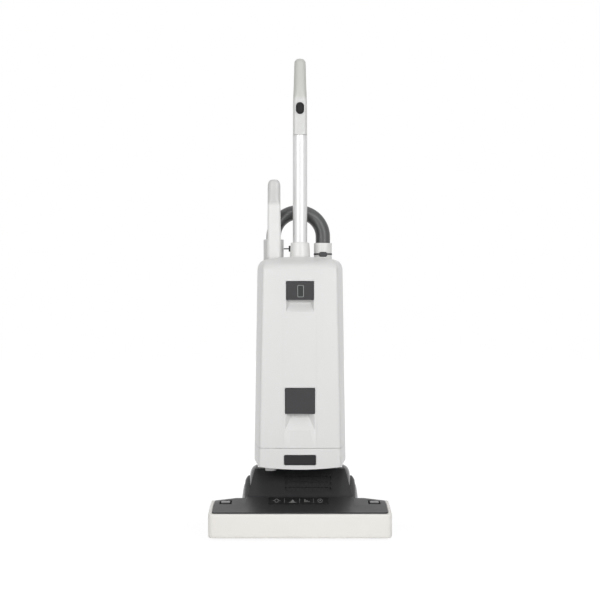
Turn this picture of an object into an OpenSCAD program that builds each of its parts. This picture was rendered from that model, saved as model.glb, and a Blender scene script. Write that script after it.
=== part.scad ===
// Commercial upright vacuum cleaner: a wide brush head on two large wheels, a body that
// tilts on the wheel axle, a handle tube, and a suction wand on a short ribbed hose.
// X is to the right, Y to the back and Z up. The floor is Z = 0.

/* [Head] */
// Width of the head over its bumper
head_w = 437; // [400:1:460]
// Distance from the origin forward to the face of the bumper
head_front = 165; // [164:1:170]
// Y of the rear edge of the nozzle bar
bar_rear = -30; // [-32:1:-29]
// Wall of the bumper strip
bumper_t = 9; // [8:0.5:10]
// Height of the bumper's lower edge above the floor
bumper_z = 6.6; // [6:0.1:8]
// Height of the bumper's upper edge at the front
bumper_top = 64.5; // [63:0.5:65]
// Radius of the bumper's front corners
bumper_r = 18; // [14:1:22]
// Slope of the top of the nozzle bar, in degrees
bar_slope = 6.5; // [6.5:0.25:7.5]
// Wall of the moulded covers of the head
cover_t = 2.5; // [2:0.25:2.75]
// Wall of the chassis moulding
chassis_t = 2.5; // [2:0.25:3]

/* [Brush] */
// Y of the brush axis
brush_y = -115; // [-116:0.5:-114]
// Height of the brush axis
brush_z = 31; // [31:0.25:32]
// Radius over the bristle tips
bristle_r = 29.5; // [27:0.5:29.5]
// Radius of the brush core
core_r = 17; // [14:0.5:19]
// Radius of the brush shaft
brush_shaft_r = 5; // [4:0.5:6]
// Radius of the brush pulley
brush_pulley_r = 14; // [12:0.5:16]
// Radius of the drive pulley on the motor
drive_pulley_r = 8; // [7:0.5:9]
// Width of the drive belt
belt_w = 10; // [8:0.5:11]
// Thickness of the drive belt
belt_t = 2.5; // [2:0.25:3]

/* [Wheels] */
// Radius of the large wheels
wheel_r = 61; // [60:0.5:61]
// Distance from the middle to the inner face of a wheel
wheel_x = 121; // [120.5:0.5:123]
// Width of a wheel over its dome
wheel_w = 26; // [24:1:28]
// Y of the wheel axle and of the tilt axis
axle_y = 85; // [84:1:86]
// Radius of the wheel axle pins
axle_r = 6; // [5:0.5:7]
// Radius of the pivot drum at the foot of the body
drum_r = 36; // [34:0.5:37]
// Half length of the pivot drum
drum_x = 90; // [88:1:91]
// Radius of the front rollers
roller_r = 12; // [11:0.5:13]

/* [Body] */
// Height of the underside of the body in the middle
body_z = 158; // [156:1:160]
// Height of the seam between the lower cover and the door
seam_z = 209.4; // [207:0.2:211]
// Height where the top of the body starts to round over
shoulder_z = 650; // [645:1:655]
// Height of the top of the body
crest_z = 678; // [676:1:680]
// Width of the front face at the underside
front_w = 202; // [196:1:206]
// Width of the front face at the shoulder
front_w_top = 184; // [180:1:188]
// Width over the rear corners at the underside
rear_w = 232; // [228:1:236]
// Width over the rear corners at the shoulder
rear_w_top = 217; // [214:1:220]
// Wall of the body shells
body_t = 3; // [2.5:0.25:3.5]
// Y of the joint between the door and the rear housing
split_y = 10; // [6:1:12]
// Half width of the upper latch
latch_up_x = 34; // [32:1:36]
// Height of the lower edge of the upper latch
latch_up_z = 570; // [568:1:574]
// Height of the upper latch
latch_up_h = 45; // [43:1:46]
// Half width of the lower latch
latch_low_x = 36.5; // [34:0.5:38]
// Height of the lower edge of the lower latch
latch_low_z = 293; // [290:1:296]
// Height of the lower latch
latch_low_h = 62; // [58:1:64]

/* [Handle] */
// Radius of the handle tube
tube_r = 18; // [17:0.5:19]
// Wall of the handle tube
tube_t = 1.5; // [1:0.25:2]
// Y of the handle tube
tube_y = 30; // [29:0.5:31]
// Height of the top of the grip
grip_top = 1186; // [1060:1:1200]
// Height of the grip above the upper end of the handle tube
grip_rise = 186; // [180:1:200]

/* [Wand and hose] */
// X of the hose's left leg and of the wand
wand_x = -67; // [-68:0.5:-67]
// Y of the wand tube and the airway
wand_y = 45; // [44:0.5:45.5]
// X of the hose's right leg and of its port
port_x = 58; // [57:0.5:59]
// Y of the plane that the hose lies in
hose_y = 66; // [65:0.5:66]
// Radius over the ribs of the hose
hose_r = 18.5; // [17.5:0.25:18.5]
// Radius of the bore of the hose
hose_bore = 14.5; // [13:0.25:15]
// Height where the hose ends sit in their sockets
hose_z = 690; // [689:0.5:692]
// Height where the hose starts to bend
hose_bend_z = 730; // [728:1:740]
// Number of ribs along the hose
hose_ribs = 48; // [30:1:60]
// Radius of the wand tube
wand_r = 17; // [16:0.5:17.5]
// Travel of the wand out of the body
wand_lift = 180; // [150:5:185]

/* [Clearances] */
// Running clearance of a shaft in its bore, on the radius
fit = 0.05; // [0.02:0.01:0.1]
// Gap between pieces that are seated but not running
seat = 0.3; // [0.2:0.05:0.4]
// Gap round the moving panels, latches and buttons
panel_gap = 0.5; // [0.4:0.1:0.8]

/* [Hidden] */
$fn = 48;
PALE = "gainsboro";
DARK = "#343434";
STEEL = "silver";
e = 0.01;

// Head, worked out
head_x = head_w / 2;
slope = tan(bar_slope);
cover_front_z = bumper_top + 1.5;
bar_in = bumper_t + seat;
cover_flat_x = head_x - 77;
cover_flat_z = 84;
cover_end_z = 75;
bumper_end_z = cover_end_z + 0.6;
bumper_level_y = -head_front + (bumper_end_z - bumper_top) / slope;
cover_rise_y = -100;
chassis_z = 8;
tray_top = 55.7;
floor_z = chassis_z + 3;
hood_y = -45;
hood_foot_z = 72;
hood_low_z = 88;
hood_top_z = 150;
hood_crest_y = 8;
hood_rear_y = 35;
hood_x0 = 129;
hood_x1 = 112;
hood_bend_y = 12;
grille_x = 20;
grille_pitch = 10;
grille_slot = 6.4;
grille_end_slot = 3.6;
grille_row = 16;
grille_bar = 5;
wall_x = 107;
hood_back_x = wall_x + 0.5;
arm_in = 96;
cheek_y = 72;
cheek_z = 94;
cheek_r = 58;
cheek_x0 = wall_x + 0.5;
cheek_x1 = wheel_x - 2;

// Brush and drive
tunnel_h = 36;
tunnel_x0 = -head_x + 19.5;
tunnel_x1 = head_x - 39.5;
brush_x0 = tunnel_x0 + 9;
brush_x1 = tunnel_x1 - 3;
tuft_pitch = 31;
tuft_len = 24;
tuft_w = 3;
pulley_x0 = tunnel_x1 + 4;
pulley_w = belt_w + 2;
bearing_r = 10;
bearing_w = 6;
bearing_right = pulley_x0 + 13.5;
bearing_left = tunnel_x0 - 2.5;
motor_y = -50;
motor_z = 46;
motor_r = 17;
motor_x1 = pulley_x0 - 37;
motor_x0 = motor_x1 - 106;
motor_shaft_r = 3;
motor_rib_w = 5;
roller_x = head_x - 57.5;
roller_y = -57;
roller_w = 14;
roller_pin_r = 3;
duct_x0 = -78;
duct_x1 = -22;
duct_z0 = 26;
duct_z1 = 60;
duct_t = 2.5;
board_y = 5;
board_t = 2;
screw_y = -68;
screw_r = 1.9;
screw_head_r = 3.7;
screw_places = [
    [-head_x + 42.5, screw_y], [-100, screw_y], [0, screw_y], [100, screw_y],
    [roller_x - 25, screw_y], [roller_x + 25, screw_y + 8]
];

// Cover catches
catch_x0 = head_x - 51.5;
catch_x1 = catch_x0 + 28;
catch_y0 = -84;
catch_y1 = -52;
stem_x = catch_x0 + 10.5;
stem_y = catch_y1 - 6.9;
stem_r = 3;

// Pedal
pedal_y = 128;
pedal_z = 24;
pedal_x0 = 36;
pedal_x1 = 92;
pedal_pin_r = 4;
pedal_rear = 165;
pedal_top = 72;
pedal_ear = 5;

// Body, worked out
axle_z = wheel_r;
hub_r = 48;
hub_dome = 8;
tyre_flat = 10;
front_y0 = -72;
front_y1 = -62;
rear_y = 95;
crown = 6;
foot_r = 868;
roof_steps = [
    [26, 0.6, 0.8, 3.5, 0, 0.1, crown, 9], [18, 3, 3, 14, 0, 0.5, crown, 9],
    [11, 8, 8.5, 28, 1, 0.7, 5, 9], [6.4, 15, 16.5, 41, 3, 0.8, 4, 9],
    [2.6, 36, 38, 54, 7, 0.9, 3, 8], [0, 76, 91, 68, 12, 1, 1, 5]
];
foot_boss_r = 13.5;
foot_boss_x = -72;
foot_boss_y = -30;
foot_boss_z = 150.5;
floor_top = seam_z + 3.2;
neck_x0 = -88;
neck_x1 = 30;
neck_y0 = 58;
neck_y1 = 90;
neck_top = 185;
airway_r = 22;
airway_top = 500;
fan_x = 20;
fan_y = 20;
fan_case_r = 52;
fan_case_top = 300;
fan_shaft_r = 4;
fan_foot_z = floor_top + 20;
fan_z = fan_case_top - 26;
fan_r = 42;
fan_h = 14;
fan_eye_r = 22;
filter_r = 50;
filter_slot = 4;
exhaust_top = 248;
pleat_pitch = 11;
pleat_w = 6;
shelf_z = 312;
sleeve_z = 560;
bag_plate_z = sleeve_z - 8;
bag_top = bag_plate_z - seat;
bag_x0 = -38;
bag_x1 = 86;
bag_y0 = -38;
bag_y1 = 86;
bag_round = 26;
collar_top = 714;
collar_r = 26;
cuff_top = 723;
cuff_r = 25.5;
cuff_z0 = 640;
port_r = 22.75;
port_tube_r = 21;
port_foot_z = crest_z - 6;
wand_foot_z = crest_z - 10;
ring_z = 684;
ring_h = 4;
clip_z = ring_z + 1;
clip_half = 10.6;
clip_rise = 6;
clip_corner = 3.2;
clip_gap = 0.4;
hinge_y = -77.6;
latch_pin_r = 2;
latch_t = 4;
latch_depth = 4.6;
latch_swing = 1.6;
plate_round = [2.5, 2.5, 2.5, 2.5];
button_round = [4, 4, 4, 4];
pocket_wall = 3.5;
groove_x = 40.6;
groove_w = 0.8;
groove_depth = 0.6;
groove_top = 545;
button_x = 38.5;
button_z0 = 168.7;
button_z1 = 193;
tube_top = grip_top - grip_rise;
grip_low = tube_top - 14.4;
// Grip sections: height, half width, Y of the middle, half depth
grip_steps = [
    [grip_low, 19, 30.5, 20.5], [grip_low + 89.4, 20, 31.5, 20.5],
    [grip_top - 76, 18, 35, 19.5], [grip_top - 36, 17.6, 50, 19],
    [grip_top - 12, 13.5, 64, 18], [grip_top - e, 4, 76, 9]
];
switch_z = tube_top + 49;
switch_w = 10;
switch_h = 14.75;
hook_z = tube_top + 5;
hook_y = 52.6;
hook_x = 9;
hook_t = 6;
hook_reach = 32;
hook_pin_r = 3;
hook_pin_z = hook_z + 12;
low_hook_z = 372;
window_x0 = -6;
window_x1 = 9;
window_z0 = latch_up_z + 7;
window_z1 = latch_up_z + 36;
lock_z = 700;
gland_x = 30;
gland_z = 600;
gland_bore = 4.2;

function lerp(a, b, t) = a + (b - a) * t;
function unit(v) = v / norm(v);

// Rounds the corners of an outline, each with its own reach in r
function soft(pts, r, n = 4) = [
    for (i = [0:len(pts) - 1])
        let (
            p = pts[i],
            a = p + unit(pts[(i + len(pts) - 1) % len(pts)] - p) * r[i],
            b = p + unit(pts[(i + 1) % len(pts)] - p) * r[i]
        )
        each (r[i] == 0 ? [p] : [
            for (k = [0:n])
                let (t = k / n)
                a * (1 - t) * (1 - t) + p * 2 * t * (1 - t) + b * t * t
        ])
];

module box(x, y, z) {
    translate([x[0], y[0], z[0]])
        cube([x[1] - x[0], y[1] - y[0], z[1] - z[0]]);
}

module xcyl(r, x, y, z) {
    translate([x[0], y, z])
        rotate([0, 90, 0])
            cylinder(r = r, h = x[1] - x[0]);
}

module ycyl(r, x, y, z) {
    translate([x, y[1], z])
        rotate([90, 0, 0])
            cylinder(r = r, h = y[1] - y[0]);
}

module zcyl(r, x, y, z) {
    translate([x, y, z[0]])
        cylinder(r = r, h = z[1] - z[0]);
}

// Outline in Y and Z, drawn out along X
module side_prism(pts, x) {
    translate([x[0], 0, 0])
        rotate([90, 0, 90])
            linear_extrude(x[1] - x[0])
                polygon(pts);
}

// Outline in X and Z, drawn out along Y
module front_prism(pts, y) {
    translate([0, y[1], 0])
        rotate([90, 0, 0])
            linear_extrude(y[1] - y[0])
                polygon(pts);
}

module both_sides() {
    children();
    mirror([1, 0, 0]) children();
}

// Plan of the nozzle bar, drawn in from the bumper's face
module bar_plan(inset, back) {
    x = head_x - inset;
    front = -head_front + inset;
    r = max(bumper_r - inset, 2);
    polygon(soft([[-x, back], [-x, front], [x, front], [x, back]], [0, r, r, 0]));
}

function cover_line(y) = cover_front_z + (y + head_front - bumper_t) * slope;

// ---- Head ----

module bumper() {
    color(PALE)
    difference() {
        translate([0, 0, bumper_z])
            linear_extrude(100)
                difference() {
                    bar_plan(0, bar_rear);
                    bar_plan(bumper_t, bar_rear + 1);
                }
        side_prism([
            [-head_front - 1, bumper_top],
            [-head_front + bumper_t, bumper_top],
            [bumper_level_y, bumper_end_z],
            [bar_rear + 1, bumper_end_z],
            [bar_rear + 1, 200],
            [-head_front - 1, 200]
        ], [-head_x - 1, head_x + 1]);
    }
}

// Solid under a surface that lies drop below the top of the cover
module cover_form(drop) {
    front = -head_front;
    intersection() {
        side_prism([
            [front, 0], [bar_rear + 1, 0],
            [bar_rear + 1, cover_line(bar_rear + 1) + 2 - drop],
            [front, cover_line(front) - drop]
        ], [-head_x, head_x]);
        front_prism([
            [-head_x, 0], [-head_x, cover_end_z - drop], [-cover_flat_x, cover_flat_z - drop],
            [cover_flat_x, cover_flat_z - drop], [head_x, cover_end_z - drop], [head_x, 0]
        ], [-head_front, bar_rear + 1]);
    }
    side_prism([
        [cover_rise_y, 0], [hood_y - 1, 0],
        [hood_y - 1, hood_low_z - drop], [cover_rise_y, cover_line(cover_rise_y) - drop]
    ], [-hood_x0 - 3 + drop, hood_x0 + 3 - drop]);
}

module head_cover() {
    color(DARK)
    difference() {
        intersection() {
            cover_form(0);
            translate([0, 0, tray_top + seat])
                linear_extrude(60) bar_plan(bar_in, bar_rear);
        }
        intersection() {
            cover_form(cover_t);
            linear_extrude(100) bar_plan(bar_in + cover_t, bar_rear - cover_t);
        }
        box([-hood_x0 - 1, hood_x0 + 1], [hood_y - 0.5, 0], [0, 120]);
        both_sides() catch_box(panel_gap, 60, 100);
    }
}

// Plan of a catch button in the cover, drawn out by grow
module catch_box(grow, z0, z1) {
    box([catch_x0 - grow, catch_x1 + grow], [catch_y0 - grow, catch_y1 + grow], [z0, z1]);
}

module catch_left() {
    color(DARK) mirror([1, 0, 0]) catch_button();
}

module catch_right() {
    color(DARK) catch_button();
}

module catch_button() {
    difference() {
        catch_box(0, 68, 90);
        difference() {
            catch_box(8, 60, 100);
            translate([0, 0, -0.6]) cover_form(0);
        }
    }
    zcyl(stem_r, stem_x, stem_y, [50, 69]);
}

module chassis() {
    color("#3a3a3a")
    difference() {
        union() {
            tray();
            tunnel(chassis_t);
            rear_floor();
            both_sides() {
                side_prism([
                    [axle_y - 55, chassis_z], [axle_y + 37, chassis_z], [axle_y + 37, axle_z - 1],
                    [axle_y + 23, axle_z + 35], [axle_y - 23, axle_z + 39],
                    [axle_y - 55, axle_z - 1]
                ], [arm_in, wall_x]);
                box([wall_x - 3, wall_x], [hood_y + 1, axle_y - 54], [chassis_z, hood_foot_z]);
                hood_ledge();
                roller_well(2);
                zcyl(4.8, stem_x, stem_y, [floor_z - 1, 56]);
            }
            for (x = [motor_x0 + 16, motor_x1 - 20])
                box([x, x + motor_rib_w], [motor_y - 16, motor_y + 16],
                    [floor_z - 1, motor_z - 12]);
            box([bearing_right, bearing_right + bearing_w], [brush_y - 13, brush_y + 13],
                [floor_z - 1, 46]);
            for (x = [pedal_x0 - pedal_ear - panel_gap, pedal_x1 + panel_gap])
                box([x, x + pedal_ear], [pedal_y - 10, pedal_y + 8], [floor_z - 1, pedal_z + 9]);
            for (p = screw_places) zcyl(5, p[0], p[1], [floor_z - 1, 24]);
        }
        tunnel_bore(0);
        both_sides() {
            roller_well(0);
            xcyl(roller_pin_r + e, [roller_x - 12, roller_x + 12], roller_y, roller_r);
            xcyl(axle_r + fit, [arm_in - 1, wall_x + 1], axle_y, axle_z);
            zcyl(stem_r + seat, stem_x, stem_y, [floor_z + 1, 60]);
        }
        xcyl(motor_r + e, [motor_x0, motor_x1], motor_y, motor_z);
        xcyl(bearing_r + e, [bearing_left - 0.1, tunnel_x0 + 8], brush_y, brush_z);
        xcyl(bearing_r + e, [bearing_right - 1, bearing_right + 8], brush_y, brush_z);
        xcyl(brush_shaft_r + 3, [tunnel_x1 - 1, tunnel_x1 + 4], brush_y, brush_z);
        xcyl(pedal_pin_r + e, [pedal_x0 - 7, pedal_x1 + 7], pedal_y, pedal_z);
        box([duct_x0 + duct_t, duct_x1 - duct_t], [-84, -70], [duct_z0 + duct_t, duct_z1 - duct_t]);
        for (p = screw_places) zcyl(screw_r + e, p[0], p[1], [0, 20]);
    }
}

module tray() {
    difference() {
        translate([0, 0, chassis_z])
            linear_extrude(tray_top - chassis_z) bar_plan(bar_in, bar_rear);
        translate([0, 0, floor_z])
            linear_extrude(60) bar_plan(bar_in + chassis_t, bar_rear - chassis_t);
        box([-wall_x + 3, wall_x - 3], [bar_rear - 4, 0], [floor_z, 60]);
    }
}

// Outline of the brush tunnel in Y and Z, drawn out by grow
function tunnel_outline(grow, low) = [
    [brush_y - tunnel_h - grow, low], [brush_y + tunnel_h + grow, low],
    [brush_y + tunnel_h + grow, brush_z + 14], [brush_y + 22 + grow, brush_z + 28],
    [brush_y + 11, brush_z + 31.5 + grow], [brush_y - 11, brush_z + 31.5 + grow],
    [brush_y - 22 - grow, brush_z + 28], [brush_y - tunnel_h - grow, brush_z + 14]
];

module tunnel(wall) {
    side_prism(tunnel_outline(wall, chassis_z), [tunnel_x0 - 3.5, tunnel_x1 + wall]);
}

module tunnel_bore(low) {
    side_prism(tunnel_outline(0, low), [tunnel_x0, tunnel_x1]);
}

module rear_floor() {
    box([-wall_x, wall_x], [bar_rear - 1, pedal_y + 8], [chassis_z, floor_z + 1]);
}

module hood_ledge() {
    translate([0, 0, hood_foot_z - 4])
        linear_extrude(4)
            polygon([[wall_x - 3, hood_y], [hood_x0, hood_y], [hood_x1, hood_bend_y],
                [hood_back_x, hood_bend_y], [hood_back_x, hood_rear_y],
                [wall_x - 3, hood_rear_y]]);
}

module roller_well(wall) {
    h = roller_w / 2 + 1;
    box([roller_x - h - wall, roller_x + h + wall], [roller_y - 14 - wall, roller_y + 14 + wall],
        [wall > 0 ? chassis_z : 0, 27 + wall]);
}

module sole_plate() {
    color("#4a4a4a")
    difference() {
        translate([0, 0, 5]) linear_extrude(chassis_z - 5) bar_plan(12, bar_rear - 4);
        tunnel_bore(0);
        both_sides() roller_well(0);
        for (p = screw_places) {
            zcyl(screw_r + seat, p[0], p[1], [0, 10]);
            zcyl(screw_head_r + seat, p[0], p[1], [0, 6.6]);
        }
    }
}

module sole_screws() {
    color(STEEL)
    for (p = screw_places) {
        zcyl(screw_head_r, p[0], p[1], [5, 6.6]);
        zcyl(screw_r, p[0], p[1], [6.6, 19]);
    }
}

// Motor hood, drawn in by drop; its foot is open
module hood_form(drop) {
    foot = hood_foot_z - (drop > 0 ? 1 : 0);
    hull() {
        translate([0, 0, foot])
            linear_extrude(1)
                polygon([[-hood_x0 + drop, hood_y + drop], [hood_x0 - drop, hood_y + drop],
                    [hood_x1 - drop, hood_bend_y - drop], [-hood_x1 + drop, hood_bend_y - drop]]);
        box([-hood_x0 + drop, hood_x0 - drop], [hood_y + drop, hood_y + drop + 1],
            [hood_low_z - drop - 1, hood_low_z - drop]);
        box([-hood_x1 + drop, hood_x1 - drop], [hood_crest_y, hood_bend_y - drop],
            [hood_top_z - drop - 1, hood_top_z - drop]);
    }
    box([-hood_back_x + drop, hood_back_x - drop], [hood_bend_y - drop - e, hood_rear_y + drop],
        [foot, hood_top_z - drop]);
}

module grille_hole(x, w, row) {
    translate([x - w / 2, row * grille_row, -6])
        cube([w, grille_row - grille_bar, 12]);
}

module motor_hood() {
    run = hood_crest_y - hood_y;
    rise = hood_top_z - hood_low_z;
    tilt = atan(rise / run);
    color(DARK)
    difference() {
        hood_form(0);
        hood_form(cover_t);
        translate([grille_x, hood_y, hood_low_z])
            rotate([tilt, 0, 0])
                for (row = [1:3]) {
                    for (i = [-4.5:4.5])
                        grille_hole(i * grille_pitch, grille_slot, row);
                    for (i = [-5.5, 5.5])
                        grille_hole(i * grille_pitch, grille_end_slot, row);
                }
    }
}

module cheek() {
    difference() {
        union() {
            xcyl(cheek_r, [cheek_x0, cheek_x1], cheek_y, cheek_z);
            translate([cheek_x1, cheek_y, cheek_z])
                rotate([0, 90, 0])
                    rotate_extrude()
                        polygon([[0, 0], [cheek_r, 0], [cheek_r - 4, 9], [0, 9]]);
        }
        xcyl(cheek_r - 3, [cheek_x0 - 1, cheek_x1 - 3], cheek_y, cheek_z);
        xcyl(wheel_r + 2, [cheek_x1, cheek_x1 + 20], axle_y, axle_z);
        xcyl(axle_r + seat, [cheek_x0 - 1, cheek_x1 + 1], axle_y, axle_z);
        box([cheek_x0 - 1, cheek_x1 + 20], [0, 200], [0, 30]);
    }
    difference() {
        xcyl(12, [cheek_x0, cheek_x1], axle_y, axle_z);
        xcyl(axle_r + seat, [cheek_x0 - 1, cheek_x1 + 1], axle_y, axle_z);
    }
}

module cheek_left() {
    color("#5c5b5c") mirror([1, 0, 0]) cheek();
}

module cheek_right() {
    color("#5c5b5c") cheek();
}

// Steel pins of the wheels, the front rollers and the pedal
module head_pins() {
    color(STEEL) {
        both_sides() {
            xcyl(axle_r, [drum_x - 6, wheel_x + 18], axle_y, axle_z);
            xcyl(roller_pin_r, [roller_x - 10, roller_x + 10], roller_y, roller_r);
        }
        xcyl(pedal_pin_r, [pedal_x0 - 5.5, pedal_x1 + 5.5], pedal_y, pedal_z);
    }
}

// Section of a wheel as radius and distance along the axle
module wheel_turn(pts) {
    translate([wheel_x, axle_y, axle_z])
        rotate([0, 90, 0])
            rotate_extrude()
                polygon(pts);
}

module tyre() {
    color("#3c3c3c")
    wheel_turn([
        [hub_r, 0], [wheel_r - 2, 0], [wheel_r, 2], [wheel_r, tyre_flat],
        [wheel_r - 4, tyre_flat + 4], [hub_r + 2, wheel_w - hub_dome], [hub_r, wheel_w - hub_dome]
    ]);
}

module hub() {
    color("#6b6a6b")
    difference() {
        wheel_turn(concat(
            [[0, 1], [hub_r, 1], [hub_r, wheel_w - hub_dome]],
            [for (a = [15:15:90]) [hub_r * cos(a), wheel_w - hub_dome + hub_dome * sin(a)]]
        ));
        xcyl(axle_r + fit, [wheel_x - 1, wheel_x + 18 + 0.5], axle_y, axle_z);
    }
}

module wheel_tyre_left() { mirror([1, 0, 0]) tyre(); }
module wheel_tyre_right() { tyre(); }
module wheel_hub_left() { mirror([1, 0, 0]) hub(); }
module wheel_hub_right() { hub(); }

module roller() {
    color("#4a4a4a")
    difference() {
        xcyl(roller_r, [roller_x - roller_w / 2, roller_x + roller_w / 2], roller_y, roller_r);
        xcyl(roller_pin_r + fit, [roller_x - 20, roller_x + 20], roller_y, roller_r);
    }
}

module front_roller_left() { mirror([1, 0, 0]) roller(); }
module front_roller_right() { roller(); }

module brush_core() {
    color("#3a3a3a") {
        xcyl(core_r, [brush_x0, brush_x1], brush_y, brush_z);
        xcyl(brush_shaft_r, [bearing_left + 0.5, bearing_right + bearing_w], brush_y, brush_z);
    }
}

module brush_bristles() {
    tufts = floor((brush_x1 - brush_x0 - 4 - tuft_len) / tuft_pitch);
    color("#777777")
    for (row = [0:3], i = [0:tufts])
        translate([brush_x0 + 4 + i * tuft_pitch, brush_y, brush_z])
            rotate([row * 90 + i * 15, 0, 0])
                translate([0, -tuft_w / 2, core_r + 0.05])
                    cube([tuft_len, tuft_w, bristle_r - core_r - 0.1]);
}

module brush_pulley() {
    color("#8a8a8a")
    difference() {
        xcyl(brush_pulley_r, [pulley_x0, pulley_x0 + pulley_w], brush_y, brush_z);
        xcyl(brush_shaft_r + e, [pulley_x0 - 1, pulley_x0 + pulley_w + 1], brush_y, brush_z);
    }
}

module brush_bearings() {
    color(STEEL)
    for (x = [bearing_left, bearing_right])
        difference() {
            xcyl(bearing_r, [x, x + bearing_w - (x < 0 ? 1 : 0)], brush_y, brush_z);
            xcyl(brush_shaft_r + fit, [x - 1, x + bearing_w + 1], brush_y, brush_z);
        }
}

module brush_motor() {
    color("dimgray")
    difference() {
        xcyl(motor_r, [motor_x0, motor_x1], motor_y, motor_z);
        xcyl(motor_shaft_r + fit, [motor_x1 - 16, motor_x1 + 1], motor_y, motor_z);
    }
}

module drive_pulley() {
    color(STEEL) {
        xcyl(motor_shaft_r, [motor_x1 - 15, pulley_x0 + 1], motor_y, motor_z);
        xcyl(drive_pulley_r, [pulley_x0, pulley_x0 + pulley_w], motor_y, motor_z);
    }
}

// Loop round both pulleys, drawn out by grow
module belt_loop(grow) {
    hull() {
        translate([brush_y, brush_z]) circle(brush_pulley_r + grow);
        translate([motor_y, motor_z]) circle(drive_pulley_r + grow);
    }
}

module drive_belt() {
    color("#2a2a2a")
    translate([pulley_x0 + 1, 0, 0])
        rotate([90, 0, 90])
            linear_extrude(belt_w)
                difference() {
                    belt_loop(seat + belt_t);
                    belt_loop(seat);
                }
}

module head_duct() {
    color("#444444")
    difference() {
        box([duct_x0, duct_x1], [brush_y + tunnel_h + chassis_t, axle_y - 8], [duct_z0, duct_z1]);
        box([duct_x0 + duct_t, duct_x1 - duct_t], [-90, axle_y], [duct_z0 + duct_t, duct_z1 - duct_t]);
        xcyl(drum_r + 0.6, [duct_x0 - 1, duct_x1 + 1], axle_y, axle_z);
    }
}

module control_board() {
    color("darkgreen") {
        low = duct_z1 + 6;
        x = (duct_x0 + duct_x1) / 2;
        box([x - 46, x + 36], [board_y - 27, board_y + 27], [low, low + board_t]);
        for (side = [-22, 22], y = [-21, 21]) zcyl(3, x + side, board_y + y, [duct_z1, low]);
        box([x - 40, x - 10], [board_y - 15, board_y + 5], [low + board_t, low + 16]);
        box([x, x + 24], [board_y - 5, board_y + 19], [low + board_t, low + 10]);
    }
}

module foot_pedal() {
    color("#3a3a3a")
    difference() {
        union() {
            side_prism([
                [pedal_y - 7, pedal_z - 5], [pedal_y + 5, pedal_z - 6], [pedal_y + 10, pedal_z + 10],
                [pedal_rear, pedal_top - 10], [pedal_rear, pedal_top],
                [pedal_y + 3, pedal_top], [pedal_y - 5, pedal_z + 12]
            ], [pedal_x0, pedal_x1]);
            xcyl(8, [pedal_x0, pedal_x1], pedal_y, pedal_z);
        }
        xcyl(pedal_pin_r + fit, [pedal_x0 - 1, pedal_x1 + 1], pedal_y, pedal_z);
    }
}

// ---- Body ----

function body_at(z) = (z - body_z) / (shoulder_z - body_z);
function face_y(z, x = 0) =
    let (half = lerp(front_w, front_w_top, body_at(z)) / 2)
    lerp(front_y0, front_y1, body_at(z)) - crown * (1 - pow(x / half, 2));

// Plan of the body at a height, drawn in by inset: crowned front, flared sides, round corners
function body_plan(fx, rx, fy, ry, inset, bow = crown, corner = 9) =
    let (
        f = fx - inset,
        r = rx - inset,
        y = fy + inset,
        back = ry - inset,
        edge = [for (i = [1:8]) let (t = i / 8) [t * (f - corner), y - bow * (1 - t * t * 0.85)]],
        side = soft([
            [f - corner - 1, y - bow * 0.15], [f, y - bow * 0.1], [r, back - 20], [r, back], [0, back]
        ], [0, corner, 6, 16, 0], 5)
    )
    concat(
        [[0, y - bow]],
        edge,
        [for (i = [1:len(side) - 2]) side[i]],
        [for (i = [len(side) - 2:-1:1]) [-side[i][0], side[i][1]]],
        [for (i = [7:-1:0]) [-edge[i][0], edge[i][1]]]
    );

module slab(z, pts) {
    translate([0, 0, z - e])
        linear_extrude(e)
            polygon(pts);
}

module body_form(inset) {
    x0 = front_w / 2;
    x1 = front_w_top / 2;
    r0 = rear_w / 2;
    r1 = rear_w_top / 2;
    hull() {
        slab(body_z + inset + e, body_plan(x0, r0, front_y0, rear_y, inset));
        slab(shoulder_z - 4, body_plan(x1, r1, front_y1, rear_y, inset));
        // Drop below the crest, how far the front, sides and back draw in, and the corner there
        for (s = roof_steps)
            slab(crest_z - s[0] - inset * s[5],
                body_plan(x1 - s[1], r1 - s[2], front_y1 + s[3], rear_y - s[4], inset, s[6], s[7]));
    }
}

// Everything above the bowed underside of the body
module above_foot(drop) {
    translate([0, 200, body_z + foot_r + drop])
        rotate([90, 0, 0])
            cylinder(r = foot_r, h = 400, $fn = 360);
}

module lower_cover() {
    color(PALE)
    difference() {
        union() {
            difference() {
                intersection() {
                    body_form(0);
                    above_foot(0);
                    box([-200, 200], [-200, 200], [0, seam_z - 0.4]);
                }
                intersection() {
                    body_form(body_t);
                    above_foot(body_t);
                }
            }
            box([-10, 10], [-62, -58], [body_z + 1, button_z1]);
            zcyl(foot_boss_r, foot_boss_x, foot_boss_y, [foot_boss_z, body_z + 6]);
        }
        neck_hole(seat);
        front_prism(button_plate(panel_gap), [-90, -65]);
        ycyl(fan_shaft_r + fit, 0, [-70, -50], (button_z0 + button_z1) / 2);
    }
}

function button_plate(grow) =
    let (x = button_x + grow, z0 = button_z0 - grow, z1 = button_z1 + grow)
    soft([[-x, z0], [x, z0], [x, z1], [-x, z1]], button_round);

module neck_hole(grow) {
    box([neck_x0 - grow, neck_x1 + grow], [neck_y0 - grow, neck_y1 + grow], [100, body_z + 20]);
}

module service_button() {
    color(DARK) {
        y = face_y(button_z1) + 0.4;
        front_prism(button_plate(0), [y, y + 4]);
        ycyl(fan_shaft_r, 0, [y + 3, -52], (button_z0 + button_z1) / 2);
    }
}

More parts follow.
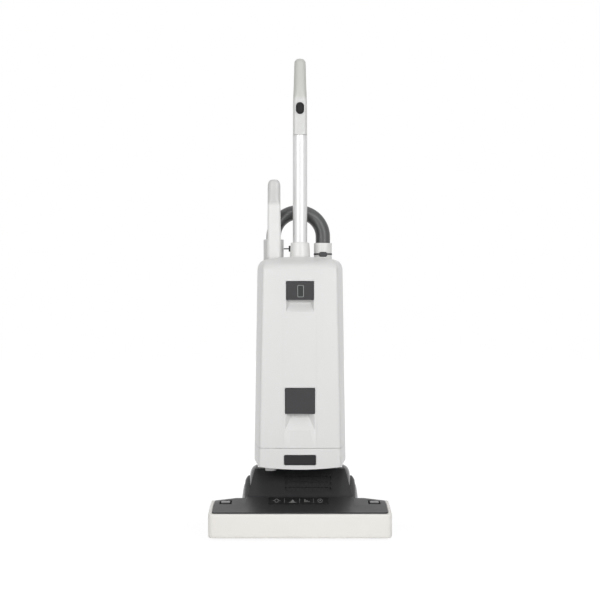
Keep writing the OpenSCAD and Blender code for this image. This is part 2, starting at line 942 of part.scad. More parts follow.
module neck_yoke() {
    color("#3a3a3a")
    difference() {
        union() {
            xcyl(drum_r, [-drum_x, drum_x], axle_y, axle_z);
            box([neck_x0, neck_x1], [neck_y0, neck_y1], [axle_z, neck_top]);
        }
        xcyl(drum_r - 3, [-drum_x + 4, drum_x - 4], axle_y, axle_z);
        box([neck_x0 + 3, neck_x1 - 3], [neck_y0 + 3, neck_y1 - 3], [axle_z, neck_top + 1]);
        xcyl(bearing_r + e, [-drum_x - 1, drum_x + 1], axle_y, axle_z);
        box([duct_x0 + 3, duct_x1 - 3], [axle_y - drum_r - 1, axle_y], [duct_z0 + 3, duct_z1 - 3]);
        box([duct_x0 + 3, duct_x1 - 3], [axle_y - 24, axle_y + 14], [axle_z - drum_r - 1, axle_z]);
    }
}

module pivot_bushes() {
    color("#d8d8d8")
    both_sides()
        difference() {
            union() {
                xcyl(bearing_r, [drum_x - 7, drum_x + 1], axle_y, axle_z);
                xcyl(bearing_r + 4, [drum_x, arm_in - seat], axle_y, axle_z);
            }
            xcyl(axle_r + fit, [drum_x - 10, arm_in + 1], axle_y, axle_z);
        }
}

module rear_housing() {
    color(PALE)
    difference() {
        union() {
            difference() {
                body_form(0);
                body_form(body_t);
                box([-200, 200], [-200, split_y + 0.4], [0, 800]);
                box([-200, 200], [-200, 200], [0, seam_z]);
            }
            box([-90, 90], [-58, rear_y - 1], [seam_z, floor_top]);
            box([-92, 96], [-42, rear_y - 1], [shelf_z, shelf_z + 3]);
            for (x = [-30, 30]) box([x - 1.5, x + 1.5], [tube_y + 22.3, rear_y - 1], [580, 660]);
        }
        zcyl(airway_r + seat, wand_x, wand_y, [200, 420]);
        box([neck_x0 - seat, wand_x + airway_r + seat], [wand_y - airway_r - seat, neck_y1 + seat],
            [200, floor_top + 1]);
        zcyl(40, fan_x, fan_y, [shelf_z - 1, shelf_z + 4]);
        zcyl(22 + e, 0, tube_y, [600, 720]);
        zcyl(port_tube_r + e, port_x, hose_y, [600, 720]);
        zcyl(port_r + seat, port_x, hose_y, [port_foot_z, 720]);
        wand_hole(panel_gap, 600, 720);
        ycyl(6 + e, gland_x, [rear_y - 10, rear_y + 1], gland_z);
        for (i = [0:6]) box([-45, 45], [rear_y - 8, rear_y + 1], [228 + i * 10, 232 + i * 10]);
    }
}

// Plan of the wand tube and its hose cuff together
module wand_hole(grow, z0, z1) {
    zcyl(wand_r + grow, wand_x, wand_y, [z0, z1]);
    zcyl(cuff_r + grow, wand_x, hose_y, [z0, z1]);
    box([wand_x - wand_r - grow, wand_x + wand_r + grow], [wand_y, hose_y], [z0, z1]);
}

module tube_collar() {
    color(PALE)
    difference() {
        union() {
            zcyl(22, 0, tube_y, [sleeve_z, crest_z]);
            translate([0, tube_y, 0])
                rotate_extrude($fn = 64)
                    polygon(soft([
                        [0, crest_z - 10], [collar_r, crest_z - 10], [collar_r - 1.2, crest_z + 14],
                        [collar_r - 2.8, collar_top], [0, collar_top]
                    ], [0, 0, 8, 3, 0]));
            box([-19.5, -6], [tube_y + 10, hose_y + 7], [lock_z - 6, lock_z + 6]);
        }
        zcyl(tube_r + fit, 0, tube_y, [sleeve_z + 2, collar_top + 1]);
        zcyl(tube_r - 3, 0, tube_y, [sleeve_z - 1, collar_top]);
        difference() {
            zcyl(30, 0, tube_y, [crest_z - 11, crest_z]);
            zcyl(22, 0, tube_y, [crest_z - 12, crest_z]);
            box([-30, 30], [-30, split_y + 0.2], [0, 800]);
        }
        xcyl(2.5 + fit, [-30, -9], hose_y, lock_z);
    }
}

module handle_tube() {
    color("white")
    difference() {
        zcyl(tube_r, 0, tube_y, [sleeve_z + 2, tube_top]);
        zcyl(tube_r - tube_t, 0, tube_y, [sleeve_z, tube_top + 1]);
    }
}

module oval(z, x, y, depth) {
    translate([0, y, z])
        linear_extrude(e)
            scale([x, depth]) circle(1, $fn = 32);
}

module grip() {
    color(PALE)
    difference() {
        union() {
            for (i = [0:len(grip_steps) - 2])
                hull() {
                    for (s = [grip_steps[i], grip_steps[i + 1]])
                        oval(s[0] + (i > 0 && s == grip_steps[i] ? -e : 0), s[1], s[2], s[3]);
                }
        }
        zcyl(tube_r + e, 0, tube_y, [grip_low - 1, tube_top]);
        zcyl(14, 0, tube_y + 1, [tube_top - 1, tube_top + 72]);
        button_plan(panel_gap, 0, 26);
        ycyl(hook_pin_r + fit, 0, [40, 54], hook_pin_z);
    }
}

module button_plan(grow, y0, y1) {
    h = switch_h - switch_w;
    ycyl(switch_w + grow, 0, [y0, y1], switch_z + h);
    ycyl(switch_w + grow, 0, [y0, y1], switch_z - h);
    box([-switch_w - grow, switch_w + grow], [y0, y1], [switch_z - h, switch_z + h]);
}

module power_button() {
    color("#2f2f2f") {
        button_plan(0, 8.6, 17.5);
        ycyl(3, 0, [17, 30], switch_z);
    }
}

module switch_block() {
    color("#222222")
    difference() {
        box([-9, 9], [tube_y - 8, tube_y + 9], [tube_top, tube_top + 68]);
        ycyl(3 + fit, 0, [0, 36], switch_z);
    }
}

module upper_hook() {
    color("#3a3a3a") {
        box([-hook_x, hook_x], [hook_y, hook_y + hook_t], [hook_z - 42, hook_z + 21]);
        box([-hook_x, hook_x], [hook_y, hook_y + hook_reach], [hook_z - 48, hook_z - 40]);
        box([-hook_x, hook_x], [hook_y + hook_reach - hook_t, hook_y + hook_reach],
            [hook_z - 48, hook_z - 24]);
        ycyl(hook_pin_r, 0, [41, hook_y + 1], hook_pin_z);
    }
}

module lower_hook() {
    color("#3a3a3a") {
        box([-16, 16], [rear_y, rear_y + 5], [low_hook_z - 2, low_hook_z + 48]);
        box([-hook_x, hook_x], [rear_y + 4, rear_y + 38], [low_hook_z, low_hook_z + 8]);
        box([-hook_x, hook_x], [rear_y + 38 - hook_t, rear_y + 38],
            [low_hook_z - 22, low_hook_z + 8]);
    }
}

module airway_duct() {
    color("#d0d0d0")
    difference() {
        union() {
            box([neck_x0, wand_x + airway_r], [wand_y - airway_r, neck_y1], [neck_top, seam_z]);
            zcyl(airway_r, wand_x, wand_y, [neck_top, airway_top]);
        }
        box([neck_x0 + 3, wand_x + airway_r - 3], [wand_y - airway_r + 3, neck_y1 - 3],
            [neck_top - 1, seam_z - 3]);
        zcyl(wand_r + fit, wand_x, wand_y, [seam_z - 4, airway_top + 1]);
    }
}

module motor_housing() {
    color("#55595c")
    difference() {
        zcyl(fan_case_r, fan_x, fan_y, [floor_top, fan_case_top]);
        zcyl(fan_r + 3, fan_x, fan_y, [fan_z - 4, fan_z + fan_h + 4]);
        zcyl(fan_eye_r, fan_x, fan_y, [fan_z + fan_h, fan_case_top + 1]);
        zcyl(fan_shaft_r + fit, fan_x, fan_y, [fan_foot_z, fan_z]);
        box([fan_x - 20, fan_x + 20], [fan_y - fan_case_r - 1, fan_y - 30],
            [floor_top + 12.4, fan_z + 11]);
    }
}

module fan_rotor() {
    color(STEEL) {
        zcyl(fan_shaft_r, fan_x, fan_y, [fan_foot_z + 0.2, fan_z + 2]);
        zcyl(fan_r, fan_x, fan_y, [fan_z, fan_z + 3]);
        zcyl(10, fan_x, fan_y, [fan_z + 2, fan_z + fan_h]);
        for (a = [0:45:315])
            translate([fan_x, fan_y, fan_z + 2])
                rotate([0, 0, a])
                    translate([8, -1, 0]) cube([fan_r - 9, 2, fan_h - 3]);
    }
}

module pre_filter() {
    color("#9aa3a8")
    difference() {
        zcyl(filter_r, fan_x, fan_y, [fan_case_top, shelf_z]);
        for (i = [-3:3])
            translate([fan_x + i * pleat_pitch, fan_y, 0])
                box([-filter_slot / 2, filter_slot / 2], [-34, 34],
                    [fan_case_top + 5, shelf_z + 1]);
    }
}

module exhaust_filter() {
    color("#e8e8e8")
    difference() {
        box([-60, 85], [-50, fan_y - fan_case_r - seat], [floor_top, exhaust_top]);
        for (i = [0:11])
            translate([-52 + i * pleat_pitch, 0, 0])
                box([0, pleat_w], [-51, -44], [floor_top + 4, exhaust_top - 4]);
    }
}

module filter_bag() {
    color("#cfcabb")
    translate([0, 0, shelf_z + 3])
        linear_extrude(bag_top - shelf_z - 3)
            polygon(soft([[bag_x0, bag_y0], [bag_x1, bag_y0], [bag_x1, bag_y1], [bag_x0, bag_y1]],
                [bag_round, bag_round, bag_round, bag_round]));
}

module bag_collar() {
    color("#3f6f8f")
    difference() {
        box([-8, bag_x1], [38, rear_y - body_t - e], [bag_plate_z, sleeve_z - 4]);
        zcyl(hose_bore, port_x, hose_y, [bag_plate_z - 1, sleeve_z]);
    }
}

// The clip's eight-sided plate, drawn out by grow
module clip_plate(y, grow) {
    hull() {
        box([port_x - clip_half + clip_corner, port_x + clip_half - clip_corner], y,
            [clip_z - clip_rise - grow, clip_z + clip_rise + grow]);
        box([port_x - clip_half - grow, port_x + clip_half + grow], y,
            [clip_z - clip_rise + clip_corner, clip_z + clip_rise - clip_corner]);
    }
}

module hose_port() {
    color(PALE)
    difference() {
        union() {
            zcyl(port_tube_r, port_x, hose_y, [sleeve_z - 4, ring_z + ring_h]);
            zcyl(port_r, port_x, hose_y, [port_foot_z, ring_z]);
            zcyl(port_r, port_x, hose_y, [ring_z + ring_h, collar_top]);
        }
        zcyl(hose_bore, port_x, hose_y, [sleeve_z - 10, collar_top]);
        zcyl(hose_r + 0.1, port_x, hose_y, [hose_z, collar_top + 1]);
        clip_plate([hose_y - 30, hose_y - 18.4], clip_gap);
        ycyl(2 + fit, port_x, [hose_y - 26, hose_y - 15.5], clip_z);
    }
}

module port_seal() {
    color("#1c1c1c")
    difference() {
        zcyl(port_r + 0.5, port_x, hose_y, [ring_z, ring_z + ring_h]);
        zcyl(port_tube_r, port_x, hose_y, [ring_z - 1, ring_z + ring_h + 1]);
        clip_plate([hose_y - 30, hose_y - 15], clip_gap);
    }
}

module hose_clip() {
    color("#585858") {
        y = hose_y - port_r - 1;
        clip_plate([y, y + 3.2], 0);
        ycyl(2, port_x, [y + 3, hose_y - 17.5], clip_z);
    }
}

// Point and direction of the hose's centre line, at a length along it
hose_leg = hose_bend_z - hose_z;
arch_r = (port_x - wand_x) / 2;
arch_x = (port_x + wand_x) / 2;
hose_len = 2 * hose_leg + PI * arch_r;
function hose_angle(s) =
    s < hose_leg ? 0 :
    s > hose_len - hose_leg ? 180 : (s - hose_leg) / arch_r * 180 / PI;
function hose_point(s) =
    s < hose_leg ? [port_x, hose_z + s] :
    s > hose_len - hose_leg ? [wand_x, hose_z + hose_len - s] :
    [arch_x + arch_r * cos(hose_angle(s)), hose_bend_z + arch_r * sin(hose_angle(s))];
function hose_ring(s, r) = let (p = hose_point(s), a = hose_angle(s)) [
    for (k = [0:7]) let (t = k * 45 + 22.5)
        [p[0] + r * cos(t) * cos(a), hose_y + r * sin(t), p[1] + r * cos(t) * sin(a)]
];

module hose() {
    step = hose_len / hose_ribs / 2;
    n = hose_ribs * 2;
    rib_depth = 2;
    outer = [for (i = [0:n])
        hose_ring(i * step, i < 5 || i > n - 5 || i % 2 == 0 ? hose_r : hose_r - rib_depth)];
    inner = [for (i = [0:n]) hose_ring(i * step, hose_bore)];
    points = concat([for (ring = outer) each ring], [for (ring = inner) each ring]);
    m = 8 * (n + 1);
    function side(base, i, k, flip) =
        let (
            a = base + i * 8 + k,
            b = base + i * 8 + (k + 1) % 8,
            c = a + 8,
            d = b + 8
        )
        flip ? [[a, c, b], [b, c, d]] : [[a, b, c], [b, d, c]];
    faces = [
        for (i = [0:n - 1], k = [0:7]) each side(0, i, k, false),
        for (i = [0:n - 1], k = [0:7]) each side(m, i, k, true),
        for (k = [0:7]) let (j = (k + 1) % 8) each [[k, m + k, j], [j, m + k, m + j]],
        for (k = [0:7]) let (j = (k + 1) % 8, o = 8 * n)
            each [[o + k, o + j, m + o + k], [o + j, m + o + j, m + o + k]]
    ];
    color("#4c4d4d") polyhedron(points, faces);
}

module wand_tube() {
    color("#d0d0d0")
    difference() {
        union() {
            zcyl(wand_r, wand_x, wand_y, [airway_top - wand_lift - 30, hose_z]);
            zcyl(cuff_r, wand_x, hose_y, [cuff_z0, cuff_top]);
            box([wand_x - wand_r, wand_x + wand_r], [wand_y, hose_y], [cuff_z0, hose_z - 8]);
        }
        zcyl(hose_bore, wand_x, wand_y, [airway_top - wand_lift - 31, hose_z - 12]);
        zcyl(hose_bore, wand_x, hose_y, [cuff_z0 + 4, hose_z + 1]);
        box([wand_x - 12, wand_x + 12], [wand_y, hose_y], [cuff_z0 + 6, hose_z - 14]);
        zcyl(hose_r + 0.1, wand_x, hose_y, [hose_z, cuff_top + 1]);
    }
}

// Rounded section of the wand's grip at a height, from its half width and its front and back
module wand_section(z, half, y0, y1, r) {
    translate([wand_x + 2, 0, z])
        linear_extrude(e)
            polygon(soft([[-half, y0], [half, y0], [half, y1], [-half, y1]], [r, r, r, r]));
}

module wand_grip() {
    color("#e2e2e2")
    difference() {
        wand_grip_form();
        body_form(-seat);
        zcyl(wand_r, wand_x, wand_y, [crest_z - 30, hose_z]);
    }
}

module wand_grip_form() {
    hull() {
        wand_section(wand_foot_z, 16.8, 9, 30, 7);
        wand_section(hose_z, 16.8, 9, 40, 7);
        wand_section(808, 16.4, 8, 38, 7);
        wand_section(852, 16, 5, 33, 8);
        wand_section(860, 14.6, 6, 32, 8);
        wand_section(866, 12, 9, 29, 8);
        wand_section(871, 6, 14, 24, 5);
    }
}

module wand_lock() {
    color("#1e1e1e") {
        box([-28.6, -24], [hose_y - 8, hose_y + 7], [lock_z - 7.4, lock_z + 7.4]);
        xcyl(2.5, [-24.2, -13.5], hose_y, lock_z);
        xcyl(1.6, [wand_x + cuff_r + 0.4, -28], hose_y, lock_z);
    }
}

// ---- Door ----

module scoop(half, deep_half, z0, z1) {
    hull() {
        box([-half, half], [face_y(z0) - 2, face_y(z0) + 0.5], [z0, z1]);
        box([-deep_half, deep_half], [face_y(z0) + 16, face_y(z0) + 17], [z1 - 10, z1]);
    }
}

module latch_block(half, z0, z1) {
    intersection() {
        body_form(0.5);
        box([-half - pocket_wall, half + pocket_wall],
            [face_y(z0), face_y(z0) + 20], [z0, z1 + 4.5]);
    }
}

module latch_cut(half, z0, z1) {
    y = face_y(z0);
    front_prism(soft([
        [-half - panel_gap, z0 - panel_gap], [half + panel_gap, z0 - panel_gap],
        [half + panel_gap, z1 + latch_swing], [-half - panel_gap, z1 + latch_swing]
    ], plate_round), [y - 5, y + 11]);
    xcyl(latch_pin_r + fit, [-half - 3, half + 3], latch_y(z0), z1 - 4);
}

function latch_y(z0) = face_y(z0) + latch_depth;

module latch_plate(half, z0, z1) {
    y = face_y(z0);
    front_prism(soft([[-half, z0], [half, z0], [half, z1], [-half, z1]], plate_round),
        [y + 0.4, y + 0.4 + latch_t]);
    xcyl(latch_pin_r, [-half - 2.6, half + 2.6], latch_y(z0), z1 - 4);
}

// Shallow groove that runs down the face beside the latches
module face_groove() {
    side_prism([
        [-120, seam_z], [face_y(seam_z, groove_x) + groove_depth, seam_z],
        [face_y(groove_top, groove_x) + groove_depth, groove_top], [-120, groove_top]
    ], [groove_x - groove_w / 2, groove_x + groove_w / 2]);
}

module door() {
    color(PALE)
    difference() {
        union() {
            difference() {
                body_form(0);
                body_form(body_t);
                box([-200, 200], [split_y, 200], [0, 800]);
                box([-200, 200], [-200, 200], [0, seam_z + 0.4]);
            }
            latch_block(latch_up_x, latch_up_z - 33, latch_up_z + latch_up_h);
            latch_block(latch_low_x, latch_low_z - 43, latch_low_z + latch_low_h);
            for (x = [-74, 60])
                union() {
                    box([x, x + 14], [hinge_y + 7.4, hinge_y + 10], [seam_z - 8, seam_z + 8]);
                    box([x, x + 14], [hinge_y + 4, hinge_y + 8], [seam_z + 2, seam_z + 8]);
                }
        }
        latch_cut(latch_up_x, latch_up_z, latch_up_z + latch_up_h);
        latch_cut(latch_low_x, latch_low_z, latch_low_z + latch_low_h);
        scoop(latch_up_x, 28, latch_up_z - 30, latch_up_z + 1);
        scoop(latch_low_x, 21, latch_low_z - 40, latch_low_z + 1);
        zcyl(27, 0, tube_y, [600, 800]);
        both_sides() face_groove();
    }
}

module door_seal() {
    color("#222222")
    difference() {
        body_form(body_t + 0.05);
        body_form(body_t + 4);
        box([-200, 200], [-200, split_y - 6], [0, 800]);
        box([-200, 200], [split_y - 0.5, 200], [0, 800]);
        box([-200, 200], [-200, 200], [0, seam_z + 6]);
        zcyl(28, 0, tube_y, [600, 800]);
    }
}

module latch_upper() {
    color("#424242")
    difference() {
        latch_plate(latch_up_x, latch_up_z, latch_up_z + latch_up_h);
        box([window_x0, window_x1], [-80, -50], [window_z0, window_z1]);
    }
}

module fill_window() {
    y = face_y(latch_up_z) + 1.2;
    color("#6f7476") box([window_x0, window_x1], [y, y + 2.6], [window_z0, window_z1]);
}

module latch_lower() {
    color("#424242") latch_plate(latch_low_x, latch_low_z, latch_low_z + latch_low_h);
}

module cord_gland() {
    color("#2a2a2a")
    difference() {
        union() {
            ycyl(6, gland_x, [rear_y - 8, rear_y], gland_z);
            translate([gland_x, rear_y, gland_z])
                rotate([-90, 0, 0]) cylinder(r1 = 9, r2 = 6.5, h = 18);
        }
        ycyl(gland_bore, gland_x, [rear_y - 9, rear_y + 19], gland_z);
    }
}

module housing_screws() {
    color(STEEL)
    for (x = [-70, 70], z = [240, 500]) {
        ycyl(4, x, [rear_y, rear_y + 2], z);
    }
}

chassis();
sole_plate();
sole_screws();
bumper();
head_cover();
motor_hood();
catch_left();
catch_right();
cheek_left();
cheek_right();
head_pins();
wheel_tyre_left();
wheel_tyre_right();
wheel_hub_left();
wheel_hub_right();
front_roller_left();
front_roller_right();
brush_core();
brush_bristles();
brush_pulley();
brush_bearings();
brush_motor();
drive_pulley();
drive_belt();
head_duct();
control_board();
foot_pedal();
neck_yoke();
pivot_bushes();
lower_cover();
service_button();
rear_housing();
door();
door_seal();
latch_upper();
fill_window();
latch_lower();
motor_housing();
fan_rotor();
pre_filter();
exhaust_filter();
filter_bag();
bag_collar();
airway_duct();
hose_port();
port_seal();
hose_clip();
hose();
wand_tube();
wand_grip();
wand_lock();
tube_collar();
handle_tube();
grip();
power_button();
upper_hook();
lower_hook();
switch_block();
cord_gland();
housing_screws();
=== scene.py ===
"""Commercial upright vacuum cleaner: the looks of every piece, in the order it is put together."""

import math
import random

import bmesh
import bpy
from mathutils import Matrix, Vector


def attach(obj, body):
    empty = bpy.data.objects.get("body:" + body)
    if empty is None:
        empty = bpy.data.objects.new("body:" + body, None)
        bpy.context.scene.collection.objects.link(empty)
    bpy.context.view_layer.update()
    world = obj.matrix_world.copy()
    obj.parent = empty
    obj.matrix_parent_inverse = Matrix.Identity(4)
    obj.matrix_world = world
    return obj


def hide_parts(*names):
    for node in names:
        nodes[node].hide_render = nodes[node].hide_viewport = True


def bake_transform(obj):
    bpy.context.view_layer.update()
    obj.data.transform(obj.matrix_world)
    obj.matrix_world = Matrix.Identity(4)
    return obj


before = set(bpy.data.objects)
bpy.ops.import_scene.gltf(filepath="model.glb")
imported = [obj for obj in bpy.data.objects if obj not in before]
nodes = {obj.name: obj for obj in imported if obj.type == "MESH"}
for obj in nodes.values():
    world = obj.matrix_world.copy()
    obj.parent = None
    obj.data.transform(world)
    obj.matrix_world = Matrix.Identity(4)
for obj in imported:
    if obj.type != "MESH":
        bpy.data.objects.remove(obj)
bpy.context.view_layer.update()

# ---- Camera ----
# A level camera at the height of the lower latch, 3.25 m in front of the wheel axle's middle.
# Its long lens keeps the uprights parallel, as in a catalogue picture.
MM = 0.001
EYE_BACK = 3.25
EYE_HEIGHT = 0.570
LENS_PIXELS = 1306
FRAME_PIXELS = 600
SENSOR = 36

camera_data = bpy.data.cameras.new("camera")
camera_data.sensor_width = SENSOR
camera_data.lens = LENS_PIXELS * SENSOR / FRAME_PIXELS
camera = bpy.data.objects.new("camera", camera_data)
camera.location = (0, -EYE_BACK, EYE_HEIGHT)
camera.rotation_euler = (math.radians(90), 0, 0)
bpy.context.scene.collection.objects.link(camera)
bpy.context.scene.camera = camera


# ---- Ribbed hose ----
# A short crushproof hose of black EVA, wound from a ribbon so that it shows close ribs.
# It is pushed into the port on the right and turns in the wand's cuff on the left.
def linear(code):
    """A colour written as sRGB hex, in the linear values that shaders use."""
    channels = [int(code[i : i + 2], 16) / 255 for i in (1, 3, 5)]
    return [c / 12.92 if c <= 0.04045 else ((c + 0.055) / 1.055) ** 2.4 for c in channels] + [1]


def add(tree, kind, values=None, **settings):
    """Adds a node: settings are its own, values fill its sockets or link them to others."""
    made = tree.nodes.new(kind)
    for key, value in settings.items():
        setattr(made, key, value)
    for key, value in (values or {}).items():
        if isinstance(value, bpy.types.Node):
            value = next(output for output in value.outputs if output.enabled)
        if isinstance(value, bpy.types.NodeSocket):
            tree.links.new(value, made.inputs[key])
        else:
            made.inputs[key].default_value = value
    return made


def new_material(name, slot):
    """An empty material for a slot of the record, with its tree and the place in its piece."""
    made = bpy.data.materials.new(name)
    made.use_nodes = True
    made.node_tree.nodes.clear()
    made["slot"] = slot
    return made, made.node_tree, add(made.node_tree, "ShaderNodeTexCoord").outputs["Object"]


def surface(material, pattern, colour, roughness, relief=None, others=None):
    """Ends a material. Its pattern runs a pair of colours or roughnesses from one to the other.

    The relief is a pattern of height, its depth in millimetres and its strength.
    """
    tree = material.node_tree
    values = {"Base Color": colour, "Roughness": roughness}
    if isinstance(colour, tuple):
        mixed = {"Factor": pattern, "A": colour[0], "B": colour[1]}
        values["Base Color"] = add(tree, "ShaderNodeMix", mixed, data_type="RGBA")
    if isinstance(roughness, tuple):
        spread = {"Value": pattern, "To Min": roughness[0], "To Max": roughness[1]}
        values["Roughness"] = add(tree, "ShaderNodeMapRange", spread)
    if relief:
        height, depth, strength = relief
        raised = {"Height": height, "Distance": depth * MM, "Strength": strength}
        values["Normal"] = add(tree, "ShaderNodeBump", raised)
    shader = add(tree, "ShaderNodeBsdfPrincipled", {**values, **(others or {})})
    add(tree, "ShaderNodeOutputMaterial", {"Surface": shader})


def piece(name, points, faces, material, body=None, stands_for=(), smooth=True):
    """A mesh of points in millimetres that rides on a body and may stand for CAD nodes."""
    mesh = bpy.data.meshes.new(name)
    mesh.from_pydata([Vector(p) * MM for p in points], [], faces)
    mesh.materials.append(material)
    work = bmesh.new()
    work.from_mesh(mesh)
    bmesh.ops.recalc_face_normals(work, faces=work.faces)
    work.to_mesh(mesh)
    work.free()
    mesh.polygons.foreach_set("use_smooth", [smooth] * len(mesh.polygons))
    made = bpy.data.objects.new(name, mesh)
    bpy.context.scene.collection.objects.link(made)
    if body:
        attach(made, body)
    if stands_for:
        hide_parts(*stands_for)
    return made


def skin(rings, caps=True, path_closed=False):
    """Points and faces of a skin through rings that hold the same number of points."""
    n = len(rings[0])
    points = [p for ring in rings for p in ring]
    faces = []
    for i in range(len(rings) if path_closed else len(rings) - 1):
        for k in range(n):
            a, b = i * n + k, i * n + (k + 1) % n
            c, d = (i + 1) % len(rings) * n + k, (i + 1) % len(rings) * n + (k + 1) % n
            faces.append((a, b, d, c))
    if caps and not path_closed:
        faces.append(tuple(range(n)))
        faces.append(tuple(range((len(rings) - 1) * n, len(rings) * n)))
    return points, faces


PORT_X, WAND_X, HOSE_Y = 58, -67, 66
HOSE_R, HOSE_BORE = 18.5, 14.5
HOSE_Z, HOSE_BEND_Z = 690, 730
HOSE_RIBS = 132
HOSE_SIDES = 40
RIB_STEPS = 5
RIB_DEPTH = 0.26
SMOOTH_END = 12
ARCH_R = (PORT_X - WAND_X) / 2
HOSE_LEG = HOSE_BEND_Z - HOSE_Z
HOSE_LENGTH = 2 * HOSE_LEG + math.pi * ARCH_R

# Satin EVA as it comes from the winder: black, with faint blots of dust over a fine grain,
# which is drawn at half a millimetre to show
DUST_BLOT, EVA_GRAIN = 9, 0.5
hose_eva, tree, place = new_material("hose_eva", "hose_ribbed")
blots = {"Vector": place, "Scale": 1 / (DUST_BLOT * MM), "Detail": 4}
dust = add(tree, "ShaderNodeTexNoise", blots)
fine = {"Vector": place, "Scale": 1 / (EVA_GRAIN * MM), "Detail": 2}
grain = add(tree, "ShaderNodeTexNoise", fine)
surface(
    hose_eva,
    dust,
    colour=(linear("#1f2021"), linear("#2b2c2d")),
    roughness=(0.34, 0.46),
    relief=(grain, 0.03, 0.6),
    others={"Specular IOR Level": 1.0},
)


def hose_place(s):
    """Point and turn of the hose's centre line at a length along it."""
    if s < HOSE_LEG:
        return PORT_X, HOSE_Z + s, 0
    if s > HOSE_LENGTH - HOSE_LEG:
        return WAND_X, HOSE_Z + HOSE_LENGTH - s, math.pi
    turn = (s - HOSE_LEG) / ARCH_R
    middle = (PORT_X + WAND_X) / 2
    return middle + ARCH_R * math.cos(turn), HOSE_BEND_Z + ARCH_R * math.sin(turn), turn


def hose_ring(s, radius):
    """A ring of points about the hose's centre line."""
    x, z, turn = hose_place(s)
    ring = []
    for k in range(HOSE_SIDES):
        t = 2 * math.pi * k / HOSE_SIDES
        out = radius * math.cos(t)
        y = HOSE_Y + radius * math.sin(t)
        ring.append((x + out * math.cos(turn), y, z + out * math.sin(turn)))
    return ring


rings = []
for i in range(HOSE_RIBS * RIB_STEPS + 1):
    s = HOSE_LENGTH * i / (HOSE_RIBS * RIB_STEPS)
    groove = (1 - math.cos(2 * math.pi * i / RIB_STEPS)) / 2
    near_end = min(s, HOSE_LENGTH - s) < SMOOTH_END
    rings.append(hose_ring(s, HOSE_R - (0 if near_end else RIB_DEPTH * groove)))
rings += [hose_ring(HOSE_LENGTH * i / HOSE_RIBS, HOSE_BORE) for i in range(HOSE_RIBS, -1, -1)]
hose = piece("hose_of_ribs", *skin(rings, path_closed=True), hose_eva, None, ["hose"])
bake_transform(hose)


# ---- Chassis ----
# The tray of the head: black glass-filled nylon with the brush tunnel, the wheel arms and bosses.
# The sole plate closes the tunnel from below with six screws, and slides on the carpet.

# Spark erosion leaves a grain of about 0.1 mm, drawn at half a millimetre or more to show
WALL_CLOUD, RUBBED_BLOT = 70, 18


def moulded(name, slot, shade, roughness, grain=0.5, relief=0.03, drift=0.03, coat=0.0, shine=0.5):
    """Moulded plastic: its colour drifts a little with the wall, over spark-eroded grain."""
    made, tree, place = new_material(name, slot)
    patterns = []
    for size, detail in ((WALL_CLOUD, 3), (RUBBED_BLOT, 5), (grain, 2)):
        blotted = {"Vector": place, "Scale": 1 / (size * MM), "Detail": detail}
        patterns.append(add(tree, "ShaderNodeTexNoise", blotted))
    cloud, blots, fine = patterns
    rubbed = add(tree, "ShaderNodeMath", {0: blots, 1: cloud}, operation="MULTIPLY")
    worn = {"Value": rubbed, "To Min": roughness - 0.05, "To Max": roughness + 0.09}
    base = linear(shade)[:3]
    surface(
        made,
        cloud,
        colour=tuple([min(c * (1 + change), 1) for c in base] + [1] for change in (-drift, drift)),
        roughness=add(tree, "ShaderNodeMapRange", worn),
        relief=(fine, relief, 0.6),
        others={"Specular IOR Level": shine, "Coat Weight": coat, "Coat Roughness": 0.2},
    )
    return made


# Angles in degrees: creases above the first are rounded, faces within the second become one
BEVEL_FROM, FLAT_WITHIN = 28, 0.2


def dress(name, material, edge=0.5, steps=2):
    """Gives a CAD node its finish, and the small edge radius that its mould leaves."""
    node = nodes[name]
    for place in node.material_slots:
        place.link = "OBJECT"
        place.material = material
    node.data.polygons.foreach_set("use_smooth", [True] * len(node.data.polygons))
    weld = node.modifiers.new("weld", "WELD")
    weld.merge_threshold = 0.01 * MM
    flat = node.modifiers.new("flat", "DECIMATE")
    flat.decimate_type = "DISSOLVE"
    flat.angle_limit = math.radians(FLAT_WITHIN)
    bevel = node.modifiers.new("edge", "BEVEL")
    bevel.limit_method = "ANGLE"
    bevel.angle_limit = math.radians(BEVEL_FROM)
    bevel.width = edge * MM
    bevel.segments = steps
    normals = node.modifiers.new("normals", "WEIGHTED_NORMAL")
    normals.weight = 50


# Nylon with glass fibre: near black, and dull where the fibres reach its skin
black_nylon = moulded(
    "glass_filled_nylon", "chassis_dark", "#222324", 0.6, 0.7, 0.06, 0.08, shine=0.3
)
dress("chassis", black_nylon, 0.6)

# ABS polished by the carpet, whose fine scratches are drawn wider than they are, to show
SCRATCH_WIDTH, SCRATCH_DRAWN = 0.8, 0.04
sole_abs, tree, place = new_material("sole_abs", "chassis_dark")
drawn = add(tree, "ShaderNodeMapping", {"Vector": place, "Scale": (1, SCRATCH_DRAWN, 1)})
worn = {"Vector": drawn, "Scale": 1 / (SCRATCH_WIDTH * MM), "Detail": 4}
scratches = add(tree, "ShaderNodeTexNoise", worn)
surface(
    sole_abs,
    scratches,
    colour=(linear("#464647"), linear("#555556")),
    roughness=(0.28, 0.5),
    relief=(scratches, 0.04, 0.6),
)
dress("sole_plate", sole_abs, 0.5)

# The lines of a ground or plated metal are finer than this, which is as fine as shows
METAL_GRAIN = 0.8


def metal(name, slot, shade, roughness, grain=(1, 1, 1)):
    """Bare metal, with fine lines where the grain is drawn out along an axis."""
    made, tree, place = new_material(name, slot)
    drawn = add(tree, "ShaderNodeMapping", {"Vector": place, "Scale": grain})
    scale = 1 / (METAL_GRAIN * MM)
    lines = add(tree, "ShaderNodeTexNoise", {"Vector": drawn, "Scale": scale, "Detail": 3})
    surface(
        made,
        lines,
        colour=linear(shade),
        roughness=(roughness * 0.7, roughness * 1.3),
        relief=(lines, 0.01, 0.4),
        others={"Metallic": 1.0},
    )
    return made


